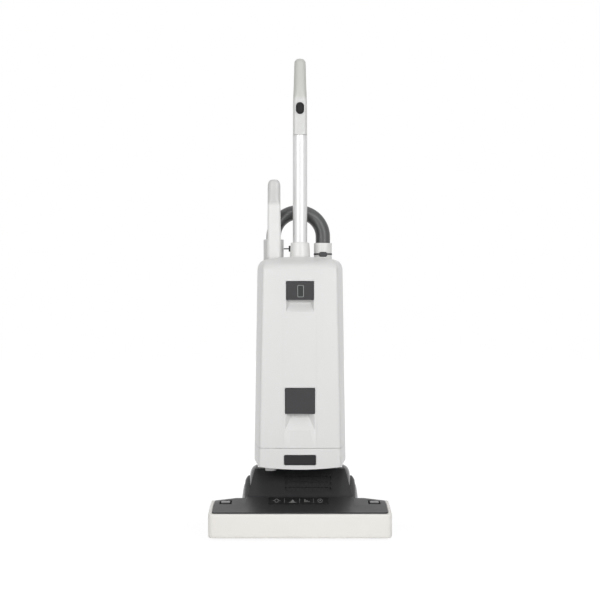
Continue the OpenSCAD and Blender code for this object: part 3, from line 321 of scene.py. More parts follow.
# Zinc plate: a soft grey metal with no direction to its grain
zinc = metal("zinc_plated_steel", "steel", "#a3a4a1", 0.36)
dress("sole_screws", zinc, 0.3)


# ---- Bumper ----
# A pale strip of soft TPU that runs round the front and both ends of the head.
# It is moulded over the tray's edge, with a rolled top and a thin lip where it ends below.
def curve_round(corner, start, end, steps):
    """Points of the soft corner that runs from start to end."""
    points = []
    for i in range(steps + 1):
        t = i / steps
        points.append(
            tuple(
                a * (1 - t) ** 2 + p * 2 * t * (1 - t) + b * t**2
                for a, p, b in zip(start, corner, end)
            )
        )
    return points


def outline_normals(path):
    """Unit vectors to the right of an open path in the plane."""
    found = []
    for i in range(len(path)):
        a, b = path[max(i - 1, 0)], path[min(i + 1, len(path) - 1)]
        run = math.hypot(b[0] - a[0], b[1] - a[1])
        found.append(((b[1] - a[1]) / run, -(b[0] - a[0]) / run))
    return found


HEAD_X, HEAD_FRONT, BAR_REAR = 218.5, -165, -30
BUMPER_T, BUMPER_Z, BUMPER_TOP, BUMPER_CORNER = 9, 6.6, 63.4, 18
BAR_SLOPE = math.tan(math.radians(6.5))
BUMPER_LIP, BUMPER_END = 2.6, 75.6

# Soft TPU: a warm off-white skin with a wide, shallow grain
bumper_tpu = moulded("bumper_tpu", "bumper_pale", "#efede8", 0.42, 0.9, 0.03, 0.02)
corner = curve_round(
    (-HEAD_X, HEAD_FRONT),
    (-HEAD_X, HEAD_FRONT + BUMPER_CORNER),
    (-HEAD_X + BUMPER_CORNER, HEAD_FRONT),
    12,
)
path = [(-HEAD_X, y) for y in (BAR_REAR, -50, -68, -100)] + corner
path += [(x, HEAD_FRONT) for x in (-140, -70, 0)]
path += [(-x, y) for x, y in reversed(path[:-1])]
rings = []
for (x, y), (nx, ny) in zip(path, outline_normals(path)):
    rise = min(BUMPER_TOP + (y - HEAD_FRONT) * BAR_SLOPE, BUMPER_END)
    profile = [
        (BUMPER_T, BUMPER_Z + 1),
        (2.4, BUMPER_Z),
        (1.5, BUMPER_Z + 0.4),
        (1.3, BUMPER_Z + BUMPER_LIP - 0.6),
        (1.1, BUMPER_Z + BUMPER_LIP),
        (0.4, BUMPER_Z + BUMPER_LIP + 0.3),
        (0.1, BUMPER_Z + BUMPER_LIP + 1.2),
        (0, BUMPER_Z + 8),
        (0, rise - 8),
        (0.2, rise - 4.2),
        (0.8, rise - 2),
        (1.8, rise - 0.6),
        (3.2, rise),
        (BUMPER_T, rise + 0.2),
    ]
    rings.append([(x - nx * inset, y - ny * inset, z) for inset, z in profile])
piece("bumper_strip", *skin(rings), bumper_tpu, "head", ["bumper"])

# ---- Head cover and indicator strip ----
# A satin charcoal ABS lid that slopes up from the bumper to the hood, held by two catches.
# The strip before the hood has four lights, each marked with a plain sign.

# Satin ABS in charcoal, with a fine grain that keeps its highlights broad
charcoal = moulded("charcoal_abs", "dark_cover", "#323233", 0.4, 0.5, 0.02, 0.05, shine=0.22)
dress("head_cover", charcoal, 1.6, steps=3)

STRIP_X, STRIP_Y, STRIP_CORNER = (-77, 69), (-89, -52), 4
RISER_LOW, RISER_HIGH = (-100, 72.4), (-46, 88)
FILM_LIFT, PRINT_LIFT = 0.25, 0.45


def on_riser(x, y, lift):
    """A point on the slope before the hood, raised by lift."""
    share = (y - RISER_LOW[0]) / (RISER_HIGH[0] - RISER_LOW[0])
    return x, y, RISER_LOW[1] + share * (RISER_HIGH[1] - RISER_LOW[1]) + lift


def flat_on_riser(outline, lift, inside=()):
    """A thin print or film on the slope, drawn as an outline, or as a band between two."""
    points = [on_riser(x, y, lift) for x, y in (*outline, *inside)]
    n = len(outline)
    if inside:
        return points, [(k, (k + 1) % n, n + (k + 1) % n, n + k) for k in range(n)]
    return points, [tuple(range(n))]


def rounded(half_x, half_y, corner, steps=4):
    """Outline of a rounded rectangle about the origin."""
    outline = []
    for turn, side_x, side_y in ((0, 1, 1), (90, -1, 1), (180, -1, -1), (270, 1, -1)):
        for k in range(steps + 1):
            t = math.radians(turn + k * 90 / steps)
            x = side_x * (half_x - corner) + corner * math.cos(t)
            outline.append((x, side_y * (half_y - corner) + corner * math.sin(t)))
    return outline


def merge(parts):
    """Several sets of points and faces as one."""
    points, faces = [], []
    for part_points, part_faces in parts:
        shift = len(points)
        points += part_points
        faces += [tuple(i + shift for i in face) for face in part_faces]
    return points, faces


# Polyester film: dark and nearly smooth, so it is glossier than the cover round it
strip_film = moulded("indicator_film", "black_plastic", "#262627", 0.22, 1.5, 0.01, 0.03)
film_x, film_y = sum(STRIP_X) / 2, sum(STRIP_Y) / 2
film_outline = [
    (film_x + x, film_y + y)
    for x, y in rounded(STRIP_X[1] - film_x, STRIP_Y[1] - film_y, STRIP_CORNER)
]
piece("indicator_strip", *flat_on_riser(film_outline, FILM_LIFT), strip_film, "head")

# Screen-printed ink: a flat light grey
print_grey = moulded("print_grey", "pale_shell", "#8b8b8a", 0.6, 1.0, 0.0, 0.02)


def ring_sign(x, y, rx, ry, width):
    """A ring, as for a wheel that turns."""
    turns = [k * math.pi / 12 for k in range(24)]
    outer = [(x + rx * math.cos(t), y + ry * math.sin(t)) for t in turns]
    inner = [
        (x + (rx - width) * math.cos(t), y + (ry - width * 2) * math.sin(t)) for t in turns
    ]
    return flat_on_riser(outer, PRINT_LIFT, inner)


def bar_sign(x0, x1, y0, y1):
    """A bar between two places across the strip and two along it."""
    return flat_on_riser([(x0, y0), (x1, y0), (x1, y1), (x0, y1)], PRINT_LIFT)


def wedge_sign(x, y, half, depth):
    """A triangle that stands on its base."""
    return flat_on_riser([(x - half, y), (x + half, y), (x, y + depth)], PRINT_LIFT)


SIGN_X, SIGN_Y = (-57, -18, 17, 49), -70
DIVIDER_X = (-38, -1, 33)
signs = [
    ring_sign(SIGN_X[0], SIGN_Y, 5, 10, 1.2),
    bar_sign(SIGN_X[0] - 9, SIGN_X[0] - 6.5, SIGN_Y - 1.5, SIGN_Y + 1.5),
    bar_sign(SIGN_X[0] + 6.5, SIGN_X[0] + 9, SIGN_Y - 1.5, SIGN_Y + 1.5),
    wedge_sign(SIGN_X[1], SIGN_Y - 7, 5.5, 13),
    bar_sign(SIGN_X[1] - 9, SIGN_X[1] + 9, SIGN_Y - 11, SIGN_Y - 8.5),
    bar_sign(SIGN_X[2] - 6, SIGN_X[2] - 3.6, SIGN_Y - 8, SIGN_Y + 8),
    bar_sign(SIGN_X[2] - 1.2, SIGN_X[2] + 1.2, SIGN_Y - 8, SIGN_Y + 3),
    bar_sign(SIGN_X[2] + 3.6, SIGN_X[2] + 6, SIGN_Y - 8, SIGN_Y - 2),
    ring_sign(SIGN_X[3], SIGN_Y, 6, 11, 1.0),
    bar_sign(SIGN_X[3] - 1, SIGN_X[3] + 1, SIGN_Y - 3, SIGN_Y + 6),
]
signs += [bar_sign(x - 0.35, x + 0.35, SIGN_Y - 12, SIGN_Y + 12) for x in DIVIDER_X]
piece("indicator_signs", *merge(signs), print_grey, "head", smooth=False)

# ---- Motor hood ----
# The sloping hood over the brush motor, in the same charcoal ABS as the cover.
# Its slots let cooling air in; a dark mat that lies behind them is painted shade for the dark
# inside of the hood.
dress("motor_hood", charcoal, 0.9)

HOOD_LOW, HOOD_HIGH = (-45, 88), (8, 150)
MAT_X, MAT_T, MAT_BEHIND = (-44, 84), 3, 4.2
MAT_FROM, MAT_TO = 0.1, 0.97

# A dull dark mat with a coarse grain: painted shade, a sheet that stands for the dark inside
# behind the slots
slot_shade_sheet = moulded("painted_shade_mat", "filter_foam", "#3a3a3a", 0.95, 1.1, 0.5, 0.1)
run, rise = HOOD_HIGH[0] - HOOD_LOW[0], HOOD_HIGH[1] - HOOD_LOW[1]
slope_length = math.hypot(run, rise)
inward = (rise / slope_length, -run / slope_length)
section = []
for share, depth in (
    (MAT_FROM, MAT_BEHIND),
    (MAT_TO, MAT_BEHIND),
    (MAT_TO, MAT_BEHIND + MAT_T),
    (MAT_FROM, MAT_BEHIND + MAT_T),
):
    y = HOOD_LOW[0] + run * share + inward[0] * depth
    section.append((y, HOOD_LOW[1] + rise * share + inward[1] * depth))
rings = [[(x, y, z) for y, z in section] for x in MAT_X]
piece("hood_shade_sheet", *skin(rings), slot_shade_sheet, "head", smooth=False)

# ---- Wheel cheeks ----
# Two dark grey ABS cheeks that cover the ends of the hood and the tops of the wheels.
# Each slips over the axle and is clipped to the chassis wall.
CHEEK_Y, CHEEK_Z, CHEEK_X = 72, 94, 107.6
CHEEK_WALL, CHEEK_HOLE, CHEEK_SIDES = 2.6, 6, 120
# Radius and distance from the wall, along the domed outer face from its rim
CHEEK_DOME = [
    (57.6, 0),
    (57.4, 2.2),
    (56.6, 4.4),
    (55.2, 7),
    (53, 10.4),
    (50, 13.2),
    (46.4, 15.4),
    (42, 17.2),
    (36, 18.6),
    (29, 19.5),
    (20, 20),
    (CHEEK_HOLE, 20.2),
]
WHEEL_AXIS = (85, 61)
WHEEL_ROOM, ROOM_X, ROOM_BLEND = 63.4, 118.4, 5

# Polished ABS in warm dark grey: a faint gloss over its fine grain
cheek_abs = moulded("cheek_abs", "cheek_grey", "#4a494b", 0.3, 0.5, 0.02, 0.05, 0.3)


def through(steps, count):
    """Rows that run smoothly through the given ones, with count of them in each stretch."""
    rows = []
    for i in range(len(steps) - 1):
        before, after = steps[max(i - 1, 0)], steps[min(i + 2, len(steps) - 1)]
        for j in range(count):
            t = j / count
            row = []
            for p, q, r, s in zip(before, steps[i], steps[i + 1], after):
                bend = 2 * p - 5 * q + 4 * r - s + t * (3 * (q - r) + s - p)
                row.append(q + 0.5 * t * (r - p + t * bend))
            rows.append(row)
    rows.append(list(steps[-1]))
    return rows


def cheek_point(side, radius, out, t):
    """A point of the dome, pressed in where the wheel needs its room."""
    y, z = CHEEK_Y + radius * math.cos(t), CHEEK_Z + radius * math.sin(t)
    x = CHEEK_X + out
    clear = (math.hypot(y - WHEEL_AXIS[0], z - WHEEL_AXIS[1]) - WHEEL_ROOM) / ROOM_BLEND
    share = min(max(clear, 0), 1)
    share = share * share * (3 - 2 * share)
    return side * (min(x, ROOM_X) + max(x - ROOM_X, 0) * share), y, z


for side, node in ((-1, "cheek_left"), (1, "cheek_right")):
    rings = []
    for k in range(CHEEK_SIDES):
        t = 2 * math.pi * k / CHEEK_SIDES
        ring = [cheek_point(side, radius, out, t) for radius, out in through(CHEEK_DOME, 3)]
        ring += [
            cheek_point(side, max(radius - CHEEK_WALL, CHEEK_HOLE), max(out - CHEEK_WALL, 0), t)
            for radius, out in reversed(CHEEK_DOME)
        ]
        rings.append(ring)
    piece(node + "_dome", *skin(rings, path_closed=True), cheek_abs, "head", [node])

# ---- Cover catches ----
# Two buttons at the ends of the cover, sprung on their stems, that free it when pressed.
# They are moulded in the cover's ABS and carry a small raised bar for the fingertip.

# The same ABS eroded matt, so that it hardly shines
catch_abs = moulded("catch_abs", "dark_cover", "#232324", 0.9, 0.5, 0.02, 0.05, shine=0.05)
CATCH_MIDDLE, CATCH_HALF, CATCH_CORNER = (181, -67), (10.8, 8.6), 3
COVER_LOW, COVER_LOW_Y, COVER_RISE = 65, -165, 0.1287
COVER_FLAT_X, COVER_FLAT_Z, COVER_FALL = 141.5, 84, 9 / 77
# Inset and lift over the cover, from the pad's foot to its top
PAD_EDGE = [(0, -2.5), (0, 0), (0.5, 0.6), (1.4, 0.9), (4, 1)]


def cover_top(x, y):
    """Height of the cover, which slopes to the front and falls away at its ends."""
    slope = COVER_LOW + (y - COVER_LOW_Y) * COVER_RISE
    return min(slope, COVER_FLAT_Z - (abs(x) - COVER_FLAT_X) * COVER_FALL)


for side, label in ((-1, "left"), (1, "right")):
    dress("catch_" + label, catch_abs, 0.4)
    rings = []
    for inset, lift in PAD_EDGE:
        half_x, half_y = CATCH_HALF[0] - inset, CATCH_HALF[1] - inset
        ring = []
        for x, y in rounded(half_x, half_y, CATCH_CORNER - inset / 2):
            x, y = x + side * CATCH_MIDDLE[0], y + CATCH_MIDDLE[1]
            ring.append((x, y, cover_top(x, y) + lift))
        rings.append(ring)
    piece("catch_pad_" + label, *skin(rings), cheek_abs, "catch_" + label)

# ---- Axles, wheels and rollers ----
# Grey ABS hubs turn on steel stub axles, with a soft tread overmoulded on each.
# Two small nylon rollers on pins carry the front of the head.

# Ground steel: bright, with fine lines along each pin
bright_steel = metal("ground_steel", "steel", "#cfcfcc", 0.2, (0.05, 1, 1))
dress("head_pins", bright_steel, 0.4)

WHEEL_R, WHEEL_X, AXLE_HOLE = 61, 121, 6.3
HUB_R, HUB_SIDES = 48, 96
TREADS, TREAD_DEPTH, TREAD_SIDES = 60, 0.9, 5

# Soft tread: dull dark grey. Hub of ABS: mid grey with a light gloss
tread_tpe = moulded("tread_tpe", "tyre_rubber", "#353536", 0.55, 0.9, 0.08, 0.08)
hub_abs = moulded("hub_abs", "cheek_grey", "#7b7b7d", 0.34, 0.5, 0.02, 0.04)


def lathe(profile, centre, turns, notch=None):
    """A profile of radius and place along the axle, turned about it at a centre."""
    rings = []
    for k in range(turns):
        t = 2 * math.pi * k / turns
        ring = []
        for j, (radius, along) in enumerate(profile):
            r = radius - (notch(j, k) if notch else 0)
            y, z = centre[1] + r * math.cos(t), centre[2] + r * math.sin(t)
            ring.append((centre[0] + along, y, z))
        rings.append(ring)
    return skin(rings, caps=False, path_closed=True)


def mirrored(points, side):
    """The points as they are, or their mirror image for the left side."""
    return [(x * side, y, z) for x, y, z in points]


tread_profile = [
    (HUB_R, 0),
    (WHEEL_R - 2.4, 0),
    (WHEEL_R - 0.8, 0.7),
    (WHEEL_R, 2.4),
    (WHEEL_R, 9.5),
    (WHEEL_R - 1.2, 11.8),
    (WHEEL_R - 4, 14),
    (WHEEL_R - 8, 16.6),
    (HUB_R + 1.6, 18),
    (HUB_R, 17.4),
]


def tread_notch(j, k):
    """Depth of the cuts across the running face of the tread."""
    return TREAD_DEPTH if 2 <= j <= 5 and k % TREAD_SIDES == 0 else 0


hub_profile = [
    (AXLE_HOLE, 1),
    (HUB_R, 1),
    (HUB_R, 16.4),
    (HUB_R - 0.8, 17.6),
    (HUB_R - 2.4, 18.4),
    (HUB_R - 5, 19),
    (HUB_R - 6, 18.2),
    (HUB_R - 7, 19.4),
    (36, 21.6),
    (26, 23.6),
    (15, 25),
    (13.6, 24.6),
    (13, 25.4),
    (8, 26),
    (AXLE_HOLE, 25.6),
]
centre = (WHEEL_X, *WHEEL_AXIS)
for side, label in ((-1, "left"), (1, "right")):
    wheel = "wheel_" + label
    points, faces = lathe(tread_profile, centre, TREAD_SIDES * TREADS, tread_notch)
    tyre = ["wheel_tyre_" + label]
    piece("tread_" + label, mirrored(points, side), faces, tread_tpe, wheel, tyre)
    points, faces = lathe(hub_profile, centre, HUB_SIDES)
    hub = ["wheel_hub_" + label]
    piece("hub_dome_" + label, mirrored(points, side), faces, hub_abs, wheel, hub)
    dress("front_roller_" + label, tread_tpe, 1.0)

# ---- Brush roller ----
# A polypropylene core on a steel shaft, in two bearings, with tufts of nylon stapled in bands.
# The pulley at its right end takes the toothed belt from the brush motor.

# Polypropylene: a dull, slightly waxy dark grey
core_pp = moulded("brush_core_pp", "brush_wood", "#3b3c40", 0.5, 0.8, 0.04, 0.06)
dress("brush_core", core_pp, 0.5)
# Acetal for the pulley: black, with the slight shine of a slippery plastic
dress("brush_pulley", moulded("pulley_pom", "black_plastic", "#2a2a2b", 0.35), 0.4)
dress("brush_bearings", bright_steel, 0.3)

BRUSH_Y, BRUSH_Z = -115, 31
CORE_R, BRISTLE_R, TRIM_SPREAD = 17, 29.4, 0.6
BRUSH_START, BRUSH_END, BAND_INSET = -194, 180, 4
BAND_ROWS, BAND_PITCH, BAND_LENGTH, BAND_TWIST = 4, 31, 24, 15
TUFTS_IN_BAND, TUFT_SIDES, TUFT_LEAN = 7, 6, 0.03

# Nylon bristle: fine grey hairs that catch the light along their length
HAIR = 0.35
tuft_nylon, tree, place = new_material("tuft_nylon", "bristle")
hairs = add(tree, "ShaderNodeTexNoise", {"Vector": place, "Scale": 1 / (HAIR * MM), "Detail": 1})
surface(
    tuft_nylon,
    hairs,
    colour=(linear("#55565a"), linear("#8c8d90")),
    roughness=0.45,
    relief=(hairs, 0.25, 1.0),
)


def tuft(x, lean):
    """One tuft, which widens from the core to its trimmed end."""
    rings = []
    tip = BRISTLE_R - random.uniform(0, TRIM_SPREAD)
    for radius, width in ((CORE_R - 0.5, 1.0), (CORE_R + 5, 1.25), (tip, 1.7)):
        ring = []
        for k in range(TUFT_SIDES):
            t = 2 * math.pi * k / TUFT_SIDES
            across = width * 0.9 * math.sin(t)
            y = BRUSH_Y - radius * math.sin(lean) + across * math.cos(lean)
            z = BRUSH_Z + radius * math.cos(lean) + across * math.sin(lean)
            ring.append((x + width * math.cos(t), y, z))
        rings.append(ring)
    return skin(rings)


random.seed(7)
tufts = []
first = BRUSH_START + BAND_INSET
bands = int((BRUSH_END - first - BAND_LENGTH) // BAND_PITCH)
for row in range(BAND_ROWS):
    for i in range(bands + 1):
        turn = math.radians(row * 360 / BAND_ROWS + i * BAND_TWIST)
        for j in range(TUFTS_IN_BAND):
            x = first + i * BAND_PITCH + (j + 0.5) * BAND_LENGTH / TUFTS_IN_BAND
            tufts.append(tuft(x, turn + random.uniform(-TUFT_LEAN, TUFT_LEAN)))
piece("bristle_tufts", *merge(tufts), tuft_nylon, "brush", ["brush_bristles"])

# ---- Brush motor and belt ----
# A can motor of zinc-plated steel behind the tunnel, with a steel drive pulley.
# The neoprene belt has glass cords and runs to the brush pulley outside the tunnel's wall.

# Zinc plate again, with fine lines along the can where it was drawn
dress("brush_motor", metal("motor_can", "motor_metal", "#9a9c9d", 0.34, (0.1, 1, 1)), 0.8)
dress("drive_pulley", bright_steel, 0.3)

# Neoprene: matt black, with the glass cords faintly raised and painted shade that darkens the
# grooves between them. Waves repeat each 2 pi / (20 scale)
CORD_PITCH = 1
belt_neoprene, tree, place = new_material("belt_neoprene", "belt_rubber")
cords = add(
    tree,
    "ShaderNodeTexWave",
    {"Vector": place, "Scale": 2 * math.pi / (20 * CORD_PITCH * MM), "Distortion": 0.4},
    bands_direction="X",
).outputs["Fac"]
surface(
    belt_neoprene,
    cords,
    colour=(linear("#202021"), linear("#2c2c2d")),
    roughness=0.7,
    relief=(cords, 0.15, 0.6),
)
dress("drive_belt", belt_neoprene, 0.2)

# ---- Suction duct and control board ----
# The duct leads from the tunnel to the pivot drum; it is blow-moulded in black nylon.
# The board for the brush motor stands behind it, in green glass epoxy with tinned tracks.
dress("head_duct", black_nylon, 0.8)

# Green solder mask over tinned tracks, under a clear varnish
TRACK_PITCH = 12
board_epoxy, tree, place = new_material("board_epoxy", "board_green")
tracks = add(
    tree,
    "ShaderNodeTexBrick",
    {
        "Vector": place,
        "Color1": linear("#23603a"),
        "Color2": linear("#2a6b42"),
        "Mortar": linear("#8f9a80"),
        "Scale": 1 / (TRACK_PITCH * MM),
        "Mortar Size": 0.04,
    },
)
surface(board_epoxy, None, colour=tracks, roughness=0.35, others={"Coat Weight": 0.4})
dress("control_board", board_epoxy, 0.2)

# ---- Foot pedal ----
# The pedal at the back right that lets the body tilt, in black ABS on a steel pin.
# Its tread is slightly worn by shoes.

# ABS with a deep grain for grip, and a colour that wear has made uneven
pedal_abs = moulded("pedal_abs", "black_plastic", "#2d2d2e", 0.48, 1.2, 0.08, 0.1)
dress("foot_pedal", pedal_abs, 1.6, steps=3)

# ---- Neck yoke ----
# The hollow neck of glass-filled nylon that carries the body, with the drum in which air turns.
# White acetal bushes run on the axle and are pressed into its arms.
dress("neck_yoke", black_nylon, 1.0)

# Natural acetal: white and smooth, with a faint waxy shine
dress("pivot_bushes", moulded("acetal", "duct_grey", "#dedfdc", 0.3), 0.3)

# ---- Lower cover and press plate ----
# The pale band below the door, open at the bottom for the neck, with four screws from behind.
# A black press plate sits in a raised rim at its front.

# Pale grey ABS with a fine grain: an even, satin skin
shell_abs = moulded("pale_abs", "pale_shell", "#e2e2e1", 0.38, 0.45, 0.02, 0.012)
dress("lower_cover", shell_abs, 0.9)

# Nearly black ABS with a fine grain
plate_abs = moulded("plate_abs", "latch_dark", "#232224", 0.42, 0.45, 0.02, 0.04, shine=0.3)
dress("service_button", plate_abs, 0.9)

PLATE_X, PLATE_Z, PLATE_CORNER = 38.5, (168.7, 193), 4
RIM_W, RIM_LIFT, RIM_GAP = 2.0, 0.9, 0.7


def plate_ring(half, z0, z1, grow, corner, y):
    """Rounded rectangle that stands in a plane across Y, grown from its half width and heights."""
    middle, half_z = (z0 + z1) / 2, (z1 - z0) / 2
    outline = rounded(half + grow, half_z + grow, corner, 5)
    return [(x, y, middle + z) for x, z in outline]


plate_y = min(corner[1] for corner in nodes["service_button"].bound_box) / MM
rim = [
    plate_ring(PLATE_X, *PLATE_Z, RIM_GAP + grow, PLATE_CORNER + grow, plate_y + y)
    for grow, y in (
        (0, 3),
        (0, -0.3),
        (0.5, -RIM_LIFT),
        (RIM_W - 0.6, -RIM_LIFT),
        (RIM_W, 0.2),
        (RIM_W, 3),
    )
]
piece("plate_rim", *skin(rim, caps=False, path_closed=True), shell_abs, "upper")

# ---- Rear housing ----
# The back shell of the body in pale ABS: it carries the motor, the airway and the filters.
# The exhaust grille is cut low in its back, and the collars stand in its roof.
dress("rear_housing", shell_abs, 0.9)

# ---- Suction motor and fan ----
# The fan housing of grey ABS stands on the floor of the body, with its fan of cast aluminium.
# A foam motor filter lies over it, and a pleated exhaust filter behind the back grille.

# Mid grey ABS, unpolished, as for pieces that stay inside
duct_abs = moulded("duct_abs", "duct_grey", "#7f8386", 0.45, 0.6, 0.03, 0.04)
dress("motor_housing", duct_abs, 0.9)

# Cast aluminium: a pale, soft grey metal without lines
dress("fan_rotor", metal("cast_aluminium", "motor_metal", "#b9bbbc", 0.42), 0.3)

# Open foam: pale cell walls, with painted shade that darkens the pores between them
CELL = 1.6
foam_grey, tree, place = new_material("motor_filter_foam", "filter_foam")
cells = add(tree, "ShaderNodeTexVoronoi", {"Vector": place, "Scale": 1 / (CELL * MM)})
surface(
    foam_grey,
    cells,
    colour=(linear("#4b5156"), linear("#868d92")),
    roughness=0.95,
    relief=(cells, 0.6, 1.0),
)
dress("pre_filter", foam_grey, 2.0)

# Filter fleece: white folds, with painted shade that greys the valleys between them
PLEAT_PITCH = 4
fleece_white, tree, place = new_material("pleated_fleece", "filter_fleece")
pleats = add(
    tree,
    "ShaderNodeTexWave",
    {"Vector": place, "Scale": 2 * math.pi / (20 * PLEAT_PITCH * MM), "Distortion": 0.2},
    bands_direction="X",
).outputs["Fac"]
surface(
    fleece_white,
    pleats,
    colour=(linear("#c9c9c4"), linear("#f0f0ec")),
    roughness=0.9,
    relief=(pleats, 1.5, 1.0),
)
dress("exhaust_filter", fleece_white, 0.6)

# ---- Filter bag ----
# A three-layer fleece bag, part filled, that hangs from a card collar on the bag plate.
# Its side seams are welded flat, and its skin is dimpled by the air that it takes.
BAG_X, BAG_Y, BAG_Z = (-38, 86), (-38, 86), (315, 551.7)
BAG_ROWS, BAG_SIDES, BAG_SQUARE = 60, 72, 4.5
TUCK_FROM, TUCK_DEPTH, TUCK_CURVE = 0.72, 3.3, 1.4
SWELL_LEAST, SWELL_MORE = 0.955, 0.035
FOLD_DEPTH, WRINKLE_DEPTH = 0.012, 0.008
DIMPLE, DIMPLE_DEPTH = 3, 0.25
FIBRE, FIBRE_DEPTH = 0.7, 0.15

# Spun fleece: a dull cream cloth of loose fibres, pressed in a pattern of dimples. Its fibres are
# drawn much thicker than they are, to show
bag_cloth, tree, place = new_material("spun_fleece", "bag_fleece")
loose = {"Vector": place, "Scale": 1 / (FIBRE * MM), "Detail": 5}
fibres = add(tree, "ShaderNodeTexNoise", loose)
dimples = add(tree, "ShaderNodeTexVoronoi", {"Vector": place, "Scale": 1 / (DIMPLE * MM)})
pressed = {"Height": dimples, "Distance": DIMPLE_DEPTH * MM, "Strength": 0.6}
pressed = add(tree, "ShaderNodeBump", pressed)
raised = {"Height": fibres, "Distance": FIBRE_DEPTH * MM, "Strength": 0.6, "Normal": pressed}
surface(
    bag_cloth,
    fibres,
    colour=(linear("#cfcabb"), linear("#e9e5d9")),
    roughness=0.95,
    others={"Sheen Weight": 0.3, "Normal": add(tree, "ShaderNodeBump", raised)},
)
rings = []
middle_x, middle_y = sum(BAG_X) / 2, sum(BAG_Y) / 2
half = (BAG_X[1] - BAG_X[0]) / 2
for i in range(BAG_ROWS + 1):
    share = i / BAG_ROWS
    z = BAG_Z[0] + share * (BAG_Z[1] - BAG_Z[0])
    tuck = 1 - TUCK_DEPTH * max(abs(2 * share - 1) - TUCK_FROM, 0) ** TUCK_CURVE
    swell = tuck * (SWELL_LEAST + SWELL_MORE * math.sin(share * math.pi))
    ring = []
    for k in range(BAG_SIDES):
        t = 2 * math.pi * k / BAG_SIDES
        c, s = math.cos(t), math.sin(t)
        crease = FOLD_DEPTH * math.sin(5 * t + 7 * share) * math.sin(11 * share * math.pi)
        crease += WRINKLE_DEPTH * math.sin(13 * t - 19 * share)
        round_off = (abs(c) ** BAG_SQUARE + abs(s) ** BAG_SQUARE) ** (1 / BAG_SQUARE)
        reach = half * (swell + crease) / round_off
        ring.append((middle_x + reach * c, middle_y + reach * s, z))
    rings.append(ring)
piece("fleece_bag", *skin(rings), bag_cloth, "upper", ["filter_bag"])

# Blue card: dull, with the clouds of its pulp
PULP = 1.2
card, tree, place = new_material("pressed_card", "card_blue")
pulp = add(tree, "ShaderNodeTexNoise", {"Vector": place, "Scale": 1 / (PULP * MM), "Detail": 5})
surface(
    card,
    pulp,
    colour=(linear("#46708c"), linear("#5a86a2")),
    roughness=0.85,
    relief=(pulp, 0.08, 0.6),
)
dress("bag_collar", card, 0.5)

# ---- Airway and hose port ----
# The grey airway rises from the pivot drum to the wand's foot, glued into the rear housing.
# The pale port stands in the roof on the right, with a black seal ring and a grey clip.

# The same ABS as the shells, a touch smoother and brighter
port_abs = moulded("port_abs", "pale_shell", "#e6e6e4", 0.36, 0.45, 0.02, 0.012)
dress("airway_duct", duct_abs, 0.9)
dress("hose_port", port_abs, 1.3, steps=3)

# Moulded EPDM rubber: dull and nearly black
seal_epdm = moulded("seal_epdm", "seal_rubber", "#1b1b1c", 0.6, 0.8, 0.04, 0.05)
dress("port_seal", seal_epdm, 0.6)

# Dark grey ABS with a satin skin
dress("hose_clip", moulded("clip_abs", "latch_dark", "#3e3e40", 0.4), 0.8, steps=3)

# ---- Suction wand ----
# The wand's tube and hose cuff are one pale grey moulding that slides in a well in the roof.
# Its grip is a smooth handle with a flat front, moulded round the tube's top end.

# ABS in two pale greys: the tube a shade darker than the brighter, smoother handle
wand_abs = moulded("wand_abs", "pale_grip", "#d9d9d8", 0.4, 0.45, 0.02, 0.015)
grip_abs = moulded("wand_grip_abs", "pale_grip", "#e9e9e8", 0.36, 0.45, 0.02, 0.015)
dress("wand_tube", wand_abs, 1.6, steps=3)

# Black ABS with a satin skin
dress("wand_lock", moulded("lock_abs", "black_plastic", "#232324", 0.4), 0.5)

# The painted shade starts a little below a height and is whole a little above it
SHADE_BELOW, SHADE_ABOVE = 6, 3


def painted_shade_above(material, height, shade):
    """Paints the part above a height in a darker colour, as painted shade over the top of a grip.
    """
    tree = material.node_tree
    shader = tree.nodes["Principled BSDF"]
    unshaded = shader.inputs["Base Color"].links[0].from_socket
    place = add(tree, "ShaderNodeTexCoord").outputs["Object"]
    up = add(tree, "ShaderNodeSeparateXYZ", {"Vector": place}).outputs["Z"]
    low, high = (height - SHADE_BELOW) * MM, (height + SHADE_ABOVE) * MM
    share = add(tree, "ShaderNodeMapRange", {"Value": up, "From Min": low, "From Max": high})
    mixed = {"Factor": share, "A": unshaded, "B": linear(shade)}
    mixed = add(tree, "ShaderNodeMix", mixed, data_type="RGBA").outputs["Result"]
    tree.links.new(mixed, shader.inputs["Base Color"])


# Painted shade darkens the top of the wand's handle above this height
WAND_SHADE_FROM = 812
painted_shade_above(grip_abs, WAND_SHADE_FROM, "#d0d0cf")

# Height, half width, front, back and how square the section is
WAND_STEPS = [
    (678, 17.0, 9.4, 40, 4.5),
    (700, 16.9, 9, 40, 4.5),
    (760, 16.6, 8.6, 39.4, 4.5),
    (800, 16.2, 8, 38.4, 4.2),
    (816, 16.0, 7.6, 37.8, 3.2),
    (826, 16.0, 7.2, 37, 2.5),
    (846, 15.9, 6, 35, 2.4),
    (858, 15.5, 6, 33.8, 2.4),
    (864, 14.2, 7, 32, 2.4),
    (868.5, 11.4, 9.2, 29, 2.3),
    (870.6, 8.0, 12, 26, 2.2),
    (871.4, 3.6, 16, 22, 2),
]
WAND_MIDDLE, GRIP_SIDES = -65, 96
FACET_HALF, FACET_SLOPE, FACET_TOP, FACET_CUT = 11.4, 0.9, 816, 0.6
ROOF_LOW, WELL_RIM, ABOVE_ROOF, FOOT_GAP = 660, 669, 800, 0.5


def rounded_section(centre_x, half, front, back, square, z):
    """A ring between an ellipse, square 2, and a rounded rectangle."""
    ring = []
    middle, depth = (front + back) / 2, (back - front) / 2
    for k in range(GRIP_SIDES):
        t = 2 * math.pi * (k + 0.5) / GRIP_SIDES
        c, s = math.cos(t), math.sin(t)
        reach = 1 / (abs(c) ** square + abs(s) ** square) ** (1 / square)
        ring.append([centre_x + half * reach * c, middle + depth * reach * s, z])
    return ring


